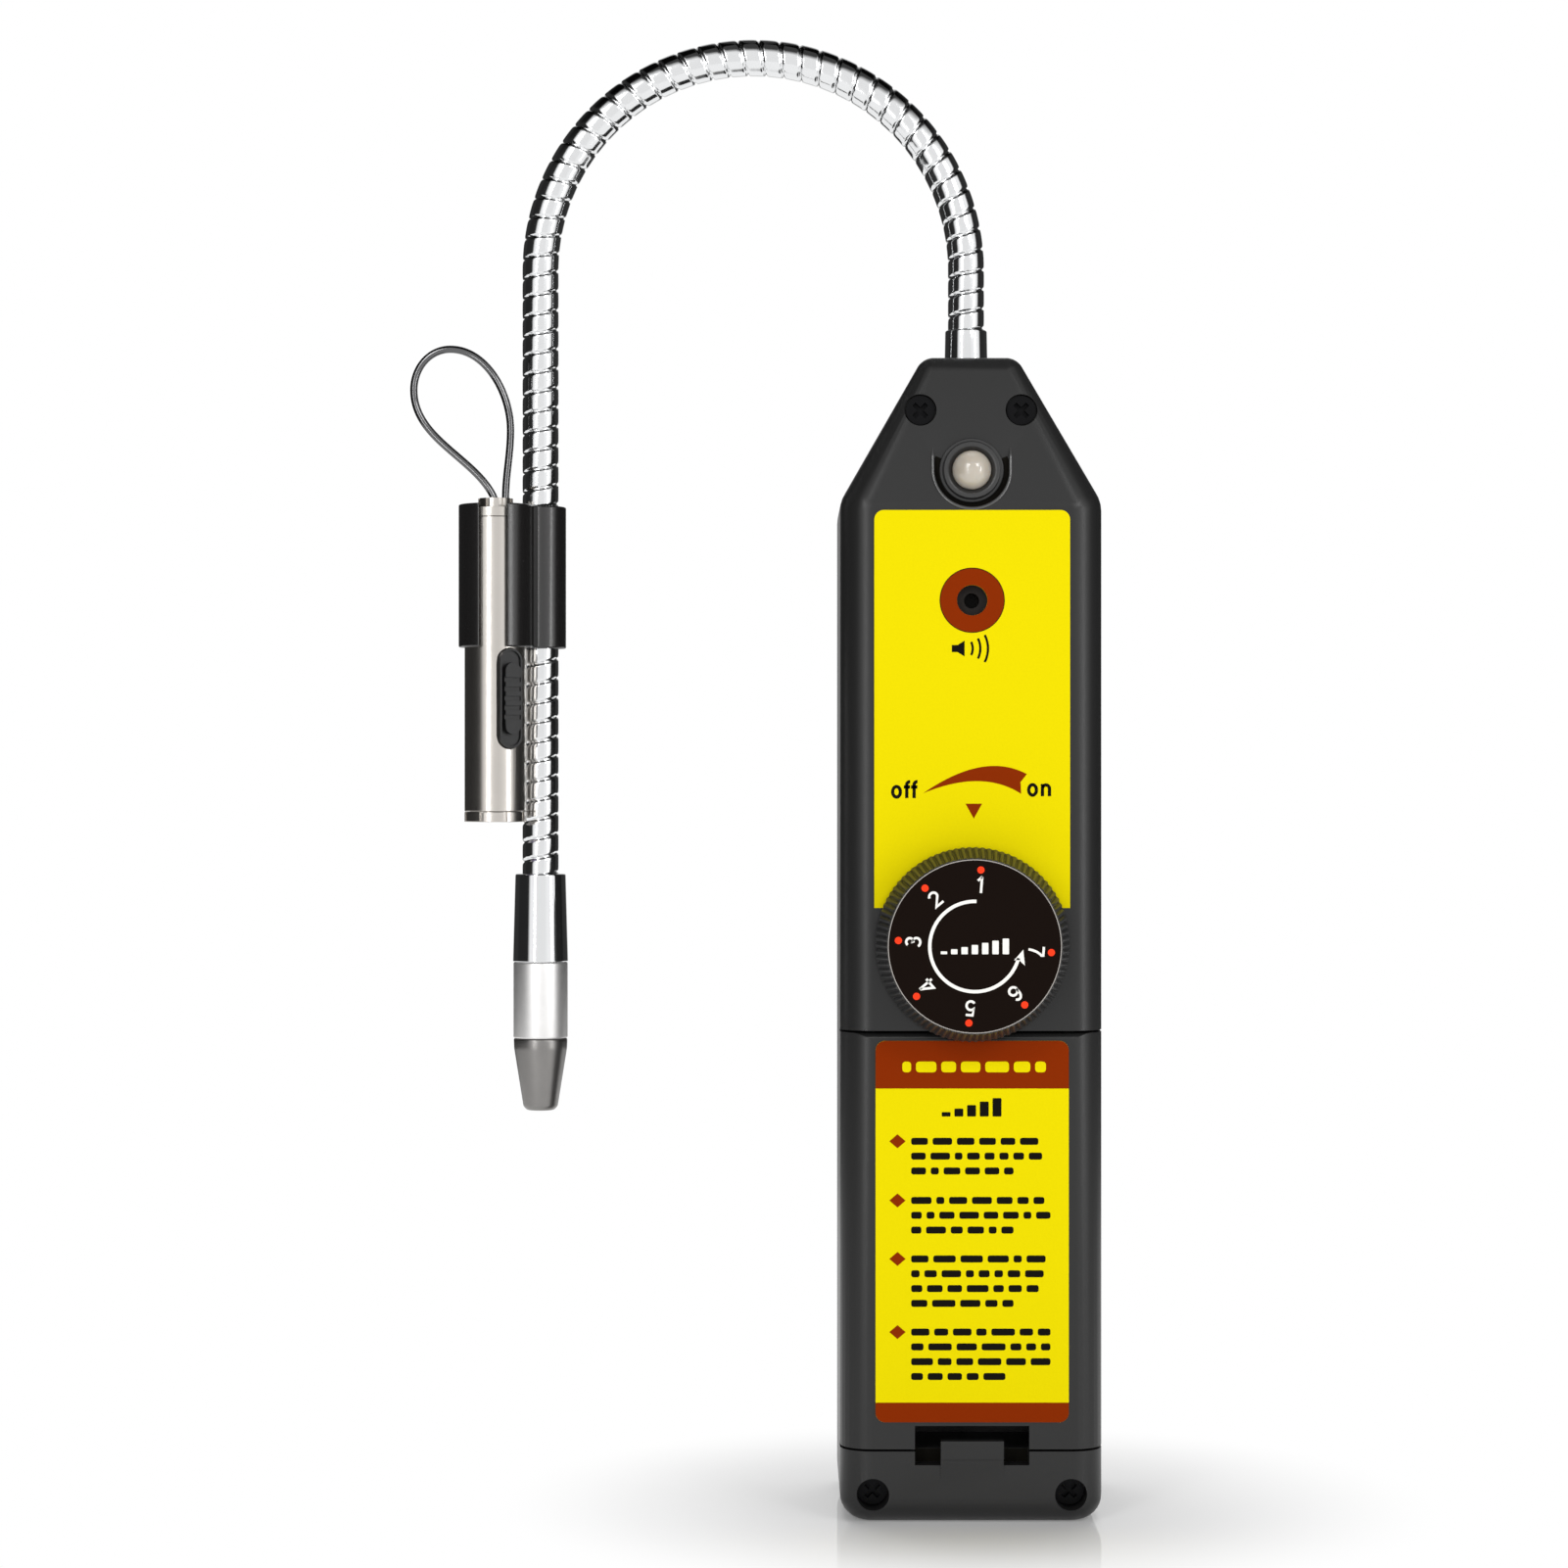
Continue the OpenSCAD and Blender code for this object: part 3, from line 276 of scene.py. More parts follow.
def polished_metal(name, base, roughness, haze):
    """Bright plated metal: mirror reflections, broken a little by a faint haze of handling marks."""
    material, tree, shader, place = blank(name)
    smear = add(tree, "ShaderNodeTexNoise", {"Vector": place, "Scale": per_mm(4.0), "Detail": 4.0})
    gloss = {"Value": smear.outputs["Fac"], "To Min": roughness, "To Max": roughness + haze}
    finish = {
        "Base Color": shade_between(tree, smear.outputs["Fac"], scaled(base, 0.94), base),
        "Roughness": add(tree, "ShaderNodeMapRange", gloss).outputs["Result"],
        "Metallic": 1.0,
    }
    fill(tree, shader, finish)
    return material


def turned_metal(name, base, roughness):
    """Lathe-turned satin metal: fine rings around the axis spread the highlight. The wave repeats after
    2 pi / 20 of its scale, so the rings are drawn about 1.6 mm apart, coarse enough to show."""
    material, tree, shader, place = blank(name)
    wave = add(
        tree,
        "ShaderNodeTexWave",
        {"Vector": place, "Scale": per_mm(0.25) / 20, "Distortion": 0.4, "Detail": 1.0},
        bands_direction="Z",
    )
    smear = add(tree, "ShaderNodeTexNoise", {"Vector": place, "Scale": per_mm(2.5), "Detail": 3.0})
    relief = {"Height": wave.outputs["Fac"], "Strength": 0.12, "Distance": 0.01 * MM}
    finish = {
        "Base Color": shade_between(tree, smear.outputs["Fac"], scaled(base, 0.9), scaled(base, 1.08)),
        "Roughness": roughness,
        "Normal": add(tree, "ShaderNodeBump", relief).outputs["Normal"],
        "Metallic": 1.0,
    }
    fill(tree, shader, finish)
    return material


def milky_resin(name, base):
    """Diffusing epoxy of an indicator lamp: light scatters inside a glossy dome."""
    material, tree, shader, place = blank(name)
    cloud = add(tree, "ShaderNodeTexNoise", {"Vector": place, "Scale": per_mm(2.0), "Detail": 2.0})
    finish = {
        "Base Color": shade_between(tree, cloud.outputs["Fac"], scaled(base, 0.93), base),
        "Roughness": 0.25,
        "IOR": 1.54,
        "Transmission Weight": 0.3,
        "Coat Weight": 1.0,
        "Coat Roughness": 0.02,
        "Subsurface Weight": 0.35,
        "Subsurface Radius": (1.0, 0.8, 0.6),
        "Subsurface Scale": 1.0 * MM,
    }
    fill(tree, shader, finish)
    return material


def clear_glass(name, base):
    """Small pressed-glass window: clear, with a violet cast and a faintly uneven skin from the press."""
    material, tree, shader, place = blank(name)
    cloud = add(tree, "ShaderNodeTexNoise", {"Vector": place, "Scale": per_mm(1.5), "Detail": 2.0})
    uneven = {"Value": cloud.outputs["Fac"], "To Min": 0.02, "To Max": 0.08}
    finish = {
        "Base Color": shade_between(tree, cloud.outputs["Fac"], scaled(base, 0.92), base),
        "Roughness": add(tree, "ShaderNodeMapRange", uneven).outputs["Result"],
        "Transmission Weight": 0.9,
        "IOR": 1.5,
    }
    fill(tree, shader, finish)
    return material


PALETTE = {}


def make_palette():
    """All materials of the detector, by their short names: name, colour and roughness, then the grain in
    millimetres, its bump and the shine of a moulding, or the haze of a plated metal."""
    c = colours()
    PALETTE.update(
        case=moulded_abs("moulded_abs_case", c.case[:], 0.34, 0.3, 0.2, 0.34),
        # The rim bead's lighter grey is a painted highlight along the pocket's edge, on a glossier finish
        rim=moulded_abs("polished_abs_rim_painted_highlight", srgb("#3c3c3c"), 0.22, 0.3, 0.05, 0.8),
        knob=moulded_abs("moulded_abs_knob", c.knob[:], 0.44, 0.25, 0.25),
        switch=moulded_abs("moulded_abs_switch", srgb("#101011"), 0.4, 0.2, 0.2, 0.35),
        clip=moulded_abs("polished_abs_clip", c.gloss_black[:], 0.25, 0.5, 0.02, 0.7),
        bezel=moulded_abs("moulded_abs_bezel", srgb("#2a2a2a"), 0.34, 0.25, 0.15),
        sounder=moulded_abs("moulded_abs_sounder", srgb("#1d1613"), 0.5, 0.3, 0.1, 0.2),
        film=printed_film("polyester_film_yellow", c.film[:], 0.42),
        rust=printed_film("screen_ink_red_brown", c.rust[:], 0.45),
        ink=printed_film("screen_ink_black", c.ink[:], 0.45),
        dial=printed_film("polyester_film_dial", c.dial[:], 0.38),
        white_ink=printed_film("screen_ink_white", c.white_ink[:], 0.45),
        grey_ink=printed_film("screen_ink_grey", srgb("#a8a39e"), 0.45),
        dot=printed_film("screen_ink_red", c.dot[:], 0.4),
        chrome=polished_metal("chromed_brass_neck", c.chrome[:], 0.09, 0.05),
        bright=polished_metal("chromed_brass_polished", c.chrome[:], 0.05, 0.07),
        barrel=polished_metal("chromed_brass_satin", srgb("#cdc8c2"), 0.24, 0.02),
        wire=polished_metal("spring_steel_wire", srgb("#6c6c6d"), 0.1, 0.06),
        satin=turned_metal("turned_aluminium_sleeve", c.satin[:], 0.46),
        nose=turned_metal("turned_aluminium_nose", c.nose[:], 0.34),
        screw=polished_metal("black_oxide_steel", srgb("#1b1b1c"), 0.32, 0.12),
        lamp=milky_resin("diffusing_epoxy_lamp", c.lamp[:]),
        glass=clear_glass("pressed_glass_window", srgb("#cdbff0")),
        board=moulded_abs("solder_resist_board", srgb("#1f5a3a"), 0.3, 0.6, 0.1),
        nickel=polished_metal("nickel_plated_steel", srgb("#c9c7bf"), 0.22, 0.1),
        sleeve=printed_film("shrink_sleeve_cell", srgb("#3d6ea5"), 0.35),
        can=turned_metal("pressed_aluminium_can", srgb("#9a9ca0"), 0.36),
        brass=turned_metal("sintered_brass", srgb("#9a8650"), 0.4),
    )


# Meshes


def finish_piece(name, mesh, material, body, replaces=()):
    """Links a mesh as an object with one material and puts it on its body."""
    piece = bpy.data.objects.new(name, mesh)
    bpy.context.scene.collection.objects.link(piece)
    mesh.materials.append(PALETTE[material])
    if body:
        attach(piece, body)
    if replaces:
        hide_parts(*replaces)
    return piece


def mesh_from(name, points, faces, smooth=True):
    """Mesh of points in millimetres and faces given by point numbers."""
    mesh = bpy.data.meshes.new(name)
    mesh.from_pydata((np.asarray(points) * MM).tolist(), [], [list(map(int, f)) for f in faces])
    if smooth:
        mesh.shade_smooth()
    mesh.update()
    return mesh


def grid_faces(rows, columns):
    """Quads between neighbouring points of a grid of rows x columns, whose rows are closed rings."""
    i, j = (a.ravel() for a in np.meshgrid(np.arange(rows - 1), np.arange(columns), indexing="ij"))
    down, right = i + 1, (j + 1) % columns
    return np.stack([i * columns + j, i * columns + right, down * columns + right, down * columns + j], 1)


def lathe(profile, origin, axis="Z", segments=96):
    """Profile of (radius, height) turned about an axis through origin: x = r cos a, y = r sin a, z = h. With
    the axis -Y the heights run to the front."""
    r, h = np.asarray(profile, float).T
    a = np.linspace(0, 2 * np.pi, segments, endpoint=False)
    r, h = r[:, None], h[:, None]
    grid = np.stack([r * np.cos(a), r * np.sin(a), np.repeat(h, segments, 1)], -1)
    if axis == "-Y":
        grid = np.stack([grid[..., 0], -grid[..., 2], grid[..., 1]], -1)
    points = grid.reshape(-1, 3) + np.asarray(origin)
    return points, grid_faces(len(r), segments)


def rounded(profile, radius, steps=5):
    """Open outline whose inner corners become quadratic curves that start radius before each corner."""
    p = np.asarray(profile, float)
    out = [p[:1]]
    t = np.linspace(0, 1, steps)[:, None]
    # A curve takes no more than this share of a side, so that two of them never meet
    share = 0.45
    for before, corner, after in zip(p[:-2], p[1:-1], p[2:]):
        back, ahead = before - corner, after - corner
        a = corner + back * min(share, radius / np.linalg.norm(back))
        b = corner + ahead * min(share, radius / np.linalg.norm(ahead))
        out.append((1 - t) ** 2 * a + 2 * t * (1 - t) * corner + t**2 * b)
    out.append(p[-1:])
    return np.concatenate(out)


def rings(path, side, radius, turn):
    """Points around a line: radius cos a towards side and radius sin a along Y, where a is each share of a
    turn. The radius has a row for each point of the line and one column or as many as there are turns."""
    a = (turn * 2 * np.pi)[:, None]
    across = np.cos(a) * side[:, None, :] + np.sin(a) * np.array([0.0, 1.0, 0.0])
    return (path[:, None, :] + radius[..., None] * across).reshape(-1, 3)


def tube(path, radius, columns=20):
    """Round bar along a line of (x, y, z): its rings stand across the line's course in x and z. It has one
    radius or one for each point."""
    along = np.gradient(path[:, [0, 2]], axis=0)
    along /= np.linalg.norm(along, axis=1)[:, None]
    across = np.stack([-along[:, 1], np.zeros(len(path)), along[:, 0]], 1)
    reach = np.broadcast_to(radius, len(path))[:, None]
    turn = np.arange(columns) / columns
    return rings(path, across, reach, turn), grid_faces(len(path), columns)


def merged_mesh(node):
    """A CAD node's triangles with their shared corners joined, so that its round faces shade smoothly."""
    source = NODES[node].data
    source.calc_loop_triangles()
    co = np.empty(len(source.vertices) * 3)
    source.vertices.foreach_get("co", co)
    co = co.reshape(-1, 3)
    tri = np.empty(len(source.loop_triangles) * 3, np.int32)
    source.loop_triangles.foreach_get("vertices", tri)
    # Corners that round to the same half micrometre are one
    place = np.round(co * 2e6).astype(np.int64)
    _, first, inverse = np.unique(place, axis=0, return_index=True, return_inverse=True)
    tri = inverse.ravel()[tri].reshape(-1, 3)
    whole = (tri[:, 0] != tri[:, 1]) & (tri[:, 1] != tri[:, 2]) & (tri[:, 0] != tri[:, 2])
    return mesh_from(node + "_skin", co[first] / MM, tri[whole])


def skin(node, material, bevel=0.0, angle=28.0):
    """Smooth skin over a CAD node: shared corners joined, sharp edges kept, edges broken by bevel
    millimetres."""
    mesh = merged_mesh(node)
    mesh.set_sharp_from_angle(angle=math.radians(angle))
    record = frame["record"]
    body = next(b for b, members in record["behaviour"]["bodies"].items() if node in members)
    piece = finish_piece(node + "_skin", mesh, material, body, [node])
    if bevel:
        edge = piece.modifiers.new("Broken edges", "BEVEL")
        edge.width = bevel * MM
        edge.segments = 2
        edge.limit_method = "ANGLE"
        edge.angle_limit = math.radians(35)
    even = piece.modifiers.new("Even shading", "WEIGHTED_NORMAL")
    even.keep_sharp = True
    even.weight = 60
    return piece


# Prints on flat film: outlines in x and z, lifted off the film towards the front


def print_shapes(name, outlines, y, material, body):
    """Flat printed areas: each outline of (x, z) points becomes one face that looks towards -Y."""
    points, faces, start = [], [], 0
    for outline in outlines:
        o = np.asarray(outline, float)
        x, z = o.T
        if np.sum(x * np.roll(z, -1) - np.roll(x, -1) * z) < 0:
            o = o[::-1]
        points.append(np.stack([o[:, 0], np.full(len(o), y), o[:, 1]], 1))
        faces.append(np.arange(start, start + len(o)))
        start += len(o)
    mesh = mesh_from(name, np.concatenate(points), faces, smooth=False)
    return finish_piece(name, mesh, material, body)


def disc(x, z, r, count):
    """Round outline with that many corners."""
    a = np.linspace(0, 2 * np.pi, count, endpoint=False)
    return np.stack([x + r * np.cos(a), z + r * np.sin(a)], 1)


def ring_sector(x, z, inner, outer, start, end, count=72):
    """Part of a ring between two radii; angles in degrees from +X towards +Z."""
    a = np.radians(np.linspace(start, end, count))
    out = np.stack([x + outer * np.cos(a), z + outer * np.sin(a)], 1)
    back = np.stack([x + inner * np.cos(a[::-1]), z + inner * np.sin(a[::-1])], 1)
    return np.concatenate([out, back])


def ring(x, z, inner, outer):
    """Whole ring between two radii, in two halves."""
    return [ring_sector(x, z, inner, outer, a, a + 180) for a in (0, 180)]


def bar(x0, z0, x1, z1, r=0.0, corners=(1, 1, 1, 1), steps=7):
    """Rectangle with rounded corners, counted from the lower left anticlockwise."""
    out = []
    places = [(x0, z0, 180), (x1, z0, 270), (x1, z1, 0), (x0, z1, 90)]
    for keep, (x, z, turn) in zip(corners, places):
        if not keep or r <= 0:
            out.append([[x, z]])
            continue
        a = np.radians(np.linspace(turn, turn + 90, steps))
        cx = x + r if x == x0 else x - r
        cz = z + r if z == z0 else z - r
        out.append(np.stack([cx + r * np.cos(a), cz + r * np.sin(a)], 1))
    return np.concatenate(out)


def rising_bars(x, z, width, pitch, low, growth, radius, count):
    """Row of bars that grow to the right: bar k is low + k growth high."""
    return [bar(x + pitch * k, z, x + width + pitch * k, z + low + growth * k, radius) for k in range(count)]


def bezier(a, b, c, count=28):
    """Quadratic curve from a to c, drawn towards b."""
    t = np.linspace(0, 1, count)[:, None]
    a, b, c = (np.asarray(p, float) for p in (a, b, c))
    return (1 - t) ** 2 * a + 2 * t * (1 - t) * b + t**2 * c


def arc(x, z, rx, rz, start, end, count=20):
    """Points along an ellipse's arc; angles in degrees from +X towards +Z."""
    t = np.radians(np.linspace(start, end, count))
    return np.stack([x + rx * np.cos(t), z + rz * np.sin(t)], 1)


def glyph(sign):
    """Middle lines of a sign's strokes, in a box one unit high whose lower left corner is the origin."""
    lines = {
        "1": [[(0.06, 0.74), (0.3, 1.0)], [(0.3, 1.0), (0.3, 0.0)]],
        "2": [np.concatenate([arc(0.32, 0.69, 0.26, 0.24, 165, -35), [(0.05, 0.07), (0.62, 0.07)]])],
        "3": [
            np.concatenate(
                [arc(0.3, 0.71, 0.23, 0.22, 150, -80), arc(0.3, 0.3, 0.27, 0.24, 85, -150)]
            )
        ],
        "4": [[(0.52, 0.0), (0.52, 1.0)], [(0.5, 0.96), (0.03, 0.26), (0.74, 0.26)]],
        "5": [
            np.concatenate([[(0.58, 0.93), (0.16, 0.93), (0.1, 0.5)], arc(0.31, 0.34, 0.26, 0.27, 130, -145)])
        ],
        "6": [
            np.concatenate([arc(0.34, 0.58, 0.26, 0.35, 40, 180), arc(0.34, 0.32, 0.26, 0.25, 180, 540, 40)])
        ],
        "7": [np.concatenate([[(0.04, 0.93), (0.58, 0.93)], arc(1.1, -0.05, 0.83, 1.1, 128, 178)])],
        "o": [arc(0.27, 0.36, 0.22, 0.3, 0, 360, 40)],
        "f": [
            np.concatenate([[(0.17, 0.0), (0.17, 0.75)], arc(0.35, 0.77, 0.18, 0.17, 180, 85)]),
            [(0.0, 0.64), (0.36, 0.64)],
        ],
        "n": [[(0.08, 0.0), (0.08, 0.7)], np.concatenate([arc(0.28, 0.44, 0.2, 0.2, 165, 0), [(0.48, 0.0)]])],
    }
    return [np.asarray(line, float) for line in lines[sign]]


def ribbon(line, width):
    """Band of even width along a line: both edges lie half a width away, mitred where the line bends."""
    step = np.diff(line, axis=0)
    step /= np.linalg.norm(step, axis=1)[:, None]
    normal = np.stack([-step[:, 1], step[:, 0]], 1)
    before, after = np.concatenate([normal[:1], normal]), np.concatenate([normal, normal[-1:]])
    mitre = before + after
    # Sharp bends are cut off where their mitre would run out too far
    blunt = 0.35
    mitre /= np.maximum(np.sum(mitre * before, axis=1), blunt)[:, None]
    points = np.concatenate([line + mitre * width / 2, line - mitre * width / 2])
    k = np.arange(len(line) - 1)
    return points, np.stack([k, k + 1, k + 1 + len(line), k + len(line)], 1)


def lettering(name, signs, places, height, weight, y, material, body):
    """Figures or letters drawn with strokes: each place gives the middle x and z and a turn in degrees."""
    points, faces, start = [], [], 0
    for sign, (x, z, turn) in zip(signs, places):
        strokes = [ribbon(line * height, weight) for line in glyph(sign)]
        reach = np.concatenate([p[:, 0] for p, _ in strokes])
        middle = np.array([(reach.min() + reach.max()) / 2, height / 2])
        t = math.radians(turn)
        turned = np.array([[math.cos(t), math.sin(t)], [-math.sin(t), math.cos(t)]])
        for flat, quads in strokes:
            flat = (flat - middle) @ turned + (x, z)
            points.append(np.stack([flat[:, 0], np.full(len(flat), y), flat[:, 1]], 1))
            faces.append(quads + start)
            start += len(flat)
    mesh = mesh_from(name, np.concatenate(points), np.concatenate(faces), smooth=False)
    return finish_piece(name, mesh, material, body)


def uneven_bars(x0, x1, z, height, seed):
    """A line of bars of uneven length between x0 and x1."""
    source = np.random.RandomState(seed)
    shortest, spread, gap, corner = 1.2, 2.6, 0.75, 0.3 * height
    out, x = [], x0
    while x < x1 - shortest:
        wide = min(shortest + spread * source.rand(), x1 - x)
        out.append(bar(x, z - height / 2, x + wide, z + height / 2, corner, steps=4))
        x += wide + gap
    return out


# Neck


def neck_line(s):
    """Middle line of the neck by its length s from the crown: straight, half a circle, straight down.
    Returns points and the side direction that faces away from the bend's centre."""
    s = np.asarray(s, float)
    rise, half_turn = BEND_Z - CROWN_Z, np.pi * BEND_R
    angle = np.clip((s - rise) / BEND_R, 0, np.pi)
    drop = np.clip(s - rise - half_turn, 0, None)
    climb = np.minimum(s, rise) - rise
    side = np.stack([np.cos(angle), np.zeros_like(s), np.sin(angle)], -1)
    points = np.array([-BEND_R, 0, BEND_Z]) + BEND_R * side
    points[:, 2] += climb - drop
    return points, side


def banded_hose(s0, s1, step=0.21, columns=56):
    """Interlocked strip hose: r = R - d g(u) - c (2u - 1)^4 with u = s / pitch - turn, so the bands wind
    round the neck as a helix; g is a groove with soft flanks and c makes each band slightly barrelled."""
    k, barrel = sizes(), 0.1
    s = np.linspace(s0, s1, int((s1 - s0) / step) + 1)
    turn = np.arange(columns) / columns
    points, side = neck_line(s)
    u = (s[:, None] / k.band_pitch - turn[None, :]) % 1.0
    edge = np.abs(u - 0.5) * 2
    lip = 1 - k.groove_width / k.band_pitch
    groove = np.clip((edge - lip) / (1 - lip), 0, 1)
    groove = groove * groove * (3 - 2 * groove)
    r = NECK_R - k.groove_depth * groove - barrel * edge**4
    return rings(points, side, r, turn), grid_faces(len(s), columns)[:, ::-1]


class DETECTOR_OT_case(bpy.types.Operator):
    """Skins of the rear case, cover, door and screws, and a dark sheet of painted shade in the catch's notch"""

    bl_idname = "detector.case"
    bl_label = "Case"

    def execute(self, context):
        for node in ("rear_case", "front_case", "battery_door"):
            skin(node, "case")
        skin("case_screws", "screw", bevel=0.12)
        # Dark sheet of painted shade on the rear wall of the notch, standing in for the shade of a deep notch
        painted_shadow = bar(-NOTCH_HALF, NOTCH_LOW, NOTCH_HALF, NOTCH_HIGH)
        y = FRONT_Y + NOTCH_DEPTH - sizes().print_lift
        print_shapes("notch_painted_shadow", [painted_shadow], y, "ink", "case")
        return {"FINISHED"}


class DETECTOR_OT_labels(bpy.types.Operator):
    """Label films and their prints"""

    bl_idname = "detector.labels"
    bl_label = "Labels"

    def execute(self, context):
        skin("front_label", "film")
        skin("door_label", "film")
        self.front_print(LABEL_Y - sizes().print_lift)
        self.door_print(DOOR_LABEL_LOW[1] - sizes().print_lift)
        return {"FINISHED"}

    def front_print(self, y):
        """Ring of the sounder, sound marks, and the switching arrow over the dial."""
        z = (BUZZER_LOW[2] + BUZZER_HIGH[2]) / 2
        hole_r, ring_r, stroke = 2.4, 5.05, 0.36
        halo = ring(0.0, z, hole_r, ring_r)
        rim = ring(0.0, z, ring_r - 0.05, ring_r + 0.07)
        # The arrow and the pointer keep their places over the dial's middle
        arrow = [(-7.7, 23.75), (1.9, 30.4), (8.6, 26.75), (7.6, 25.5), (7.7, 23.65), (1.6, 27.6)]
        tail, back, tip, notch, heel, belly = np.array(arrow) + (0, DIAL_Z)
        sweep = np.concatenate([bezier(tail, back, tip), [notch], bezier(heel, belly, tail)])
        pointer = np.array([(-1.05, 22.1), (0.25, 19.75), (1.55, 22.1)]) + (0, DIAL_Z)
        print_shapes("front_print_rust", halo + [sweep, pointer], y, "rust", "case")
        mark_z, throat, mouth = z - 7.6, 0.55, 1.25
        horn = [(-3.2, throat), (-2.3, throat), (-1.2, mouth), (-1.2, -mouth), (-2.3, -throat), (-3.2, -throat)]
        horn = np.array(horn) + (0, mark_z)
        waves = [ring_sector(-2.2, mark_z, r, r + stroke, -27, 27, 24) for r in (2.1, 3.3, 4.5)]
        print_shapes("front_print_ink", rim + waves + [horn], y - OVERPRINT, "ink", "case")
        off_x, on_x, off_rise, on_rise = (-11.9, -10.25, -9.1), (9.5, 11.6), 24.35, 24.65
        places = [(x, DIAL_Z + off_rise, 0) for x in off_x] + [(x, DIAL_Z + on_rise, 0) for x in on_x]
        letter, weight = 2.75, 0.52
        lettering("front_print_words", "offon", places, letter, weight, y, "ink", "case")

    def door_print(self, y):
        """Red-brown bands at both ends, diamond marks, lines of bars and a row of rising steps."""
        x0, x1 = DOOR_LABEL_LOW[0], DOOR_LABEL_HIGH[0]
        z0, z1 = DOOR_LABEL_LOW[2], DOOR_LABEL_HIGH[2]
        head, foot, corner = 7.5, 3.1, 1.5
        bands = [
            bar(x0, z1 - head, x1, z1, corner, (0, 0, 1, 1)),
            bar(x0, z0, x1, z0 + foot, corner, (1, 1, 0, 0)),
        ]
        x, wide, high = -11.75, 1.28, 1.1
        mark_z = z1 - np.array([15.8, 25.1, 34.3, 45.8])
        marks = [[(x - wide, z), (x, z - high), (x + wide, z), (x, z + high)] for z in mark_z]
        print_shapes("door_print_rust", bands + marks, y, "rust", "door")
        left, right, last_right, pitch, letter = -9.6, 12.3, 6.5, 2.33, 1.1
        lines = []
        for block, (z, count) in enumerate(zip(mark_z, (3, 3, 4, 4))):
            for k in range(count):
                end = right if k < count - 1 else last_right
                lines += uneven_bars(left, end, z - k * pitch, letter, 10 * block + k)
        steps = rising_bars(
            x=-4.8, z=z1 - 11.9, width=1.4, pitch=2.0, low=0.7, growth=0.55, radius=0.15, count=5
        )
        print_shapes("door_print_ink", lines + steps, y, "ink", "door")
        head_left, head_right, head_drop, head_letter = -11.0, 11.6, 4.1, 1.7
        header = uneven_bars(head_left, head_right, z1 - head_drop, head_letter, 7)
        print_shapes("door_print_film", header, y - OVERPRINT, "film", "door")


class DETECTOR_OT_dial(bpy.types.Operator):
    """Ridged knob, dial plate and its figures"""

    bl_idname = "detector.dial"
    bl_label = "Dial"

    def execute(self, context):
        self.knob()
        skin("dial_plate", "dial")
        self.figures()
        return {"FINISHED"}

    def knob(self):
        """Skirt r(h) narrows from base to face. At the angle a its n teeth take off the depth times
        ((1 - cos(n a)) / 2)^1.5, and they fade out at both edges."""
        base_r = (KNOB_HIGH[0] - KNOB_LOW[0]) / 2
        high = KNOB_HIGH[1] - KNOB_LOW[1]
        teeth, facets = sizes().teeth, 10
        foot, edge, steps, rows = 1.8, 0.45, 6, 14
        face_r, seat_r = DIAL_R + 0.25, DIAL_R + 0.03
        corners = [
            (base_r - foot, 0.0),
            (base_r, 0.0),
            (face_r, high),
            (seat_r, high),
            (seat_r, high - edge),
        ]
        line = rounded(corners, edge, steps)
        # The wall between the first two curves gets more rows, along which the teeth fade
        wall = np.linspace(line[steps], line[steps + 1], rows)
        line = np.concatenate([line[:steps], wall, line[steps + 2 :]])
        columns = teeth * facets
        points, faces = lathe(line, (0, 0, 0), "-Y", columns)
        grid = points.reshape(len(line), columns, 3)
        a = np.arange(columns) / columns * 2 * np.pi
        r, h = line.T
        base_fade, face_fade, over, inner, inner_fade = 0.6, 0.7, 0.1, 0.75, 0.5
        outer = np.clip((r - (face_r - inner)) / inner_fade, 0, 1)
        fade = np.clip(h / base_fade, 0, 1) * np.clip((high + over - h) / face_fade, 0, 1) * outer
        cut = sizes().tooth_depth * (0.5 - 0.5 * np.cos(teeth * a)) ** 1.5
        shrink = 1 - fade[:, None] * cut / r[:, None]
        grid[..., 0] *= shrink
        grid[..., 2] *= shrink
        points = grid.reshape(-1, 3) + np.array([0, KNOB_HIGH[1], DIAL_Z])
        mesh = mesh_from("knob_skirt", points, faces)
        finish_piece("knob_skirt", mesh, "knob", "dial", ["knob"])

    def figures(self):
        """Dots every 45 degrees, figures inside them, and an arc that points from low to high."""
        y = DIAL_LOW[1] - sizes().print_lift
        digits, first, last = "1234567", 85.5, 355.5
        dot_ring, digit_ring, arrow_ring = 11.9, 9.6, 7.0
        dot_r, weight, arrow_half, rim = 0.56, 0.38, 0.27, 0.14
        middles = arc(0, DIAL_Z, dot_ring, dot_ring, first, last, len(digits))
        dots = [disc(x, z, dot_r, 32) for x, z in middles]
        print_shapes("dial_print_dots", dots, y, "dot", "dial")
        middles = arc(0, DIAL_Z, digit_ring, digit_ring, first, last, len(digits))
        turns = np.linspace(first, last, len(digits)) - 90
        places = [(x, z, turn) for (x, z), turn in zip(middles, turns)]
        lettering(
            "dial_print_figures", digits, places, sizes().digit, weight, y, "white_ink", "dial"
        )
        sweep = ring_sector(0, DIAL_Z, arrow_ring - arrow_half, arrow_ring + arrow_half, 88, 345, 110)
        head = np.array([(7.5, -0.5), (6.05, -2.15), (6.85, -2.1), (7.75, -2.95)]) + (0, DIAL_Z)
        steps = rising_bars(
            x=-5.3, z=DIAL_Z - 1.2, width=1.0, pitch=1.6, low=0.45, growth=0.33, radius=0.12, count=7
        )
        print_shapes("dial_print_arrow", [sweep, head] + steps, y, "white_ink", "dial")
        edge = ring(0, DIAL_Z, DIAL_R - rim, DIAL_R)
        print_shapes("dial_print_rim", edge, y, "grey_ink", "dial")


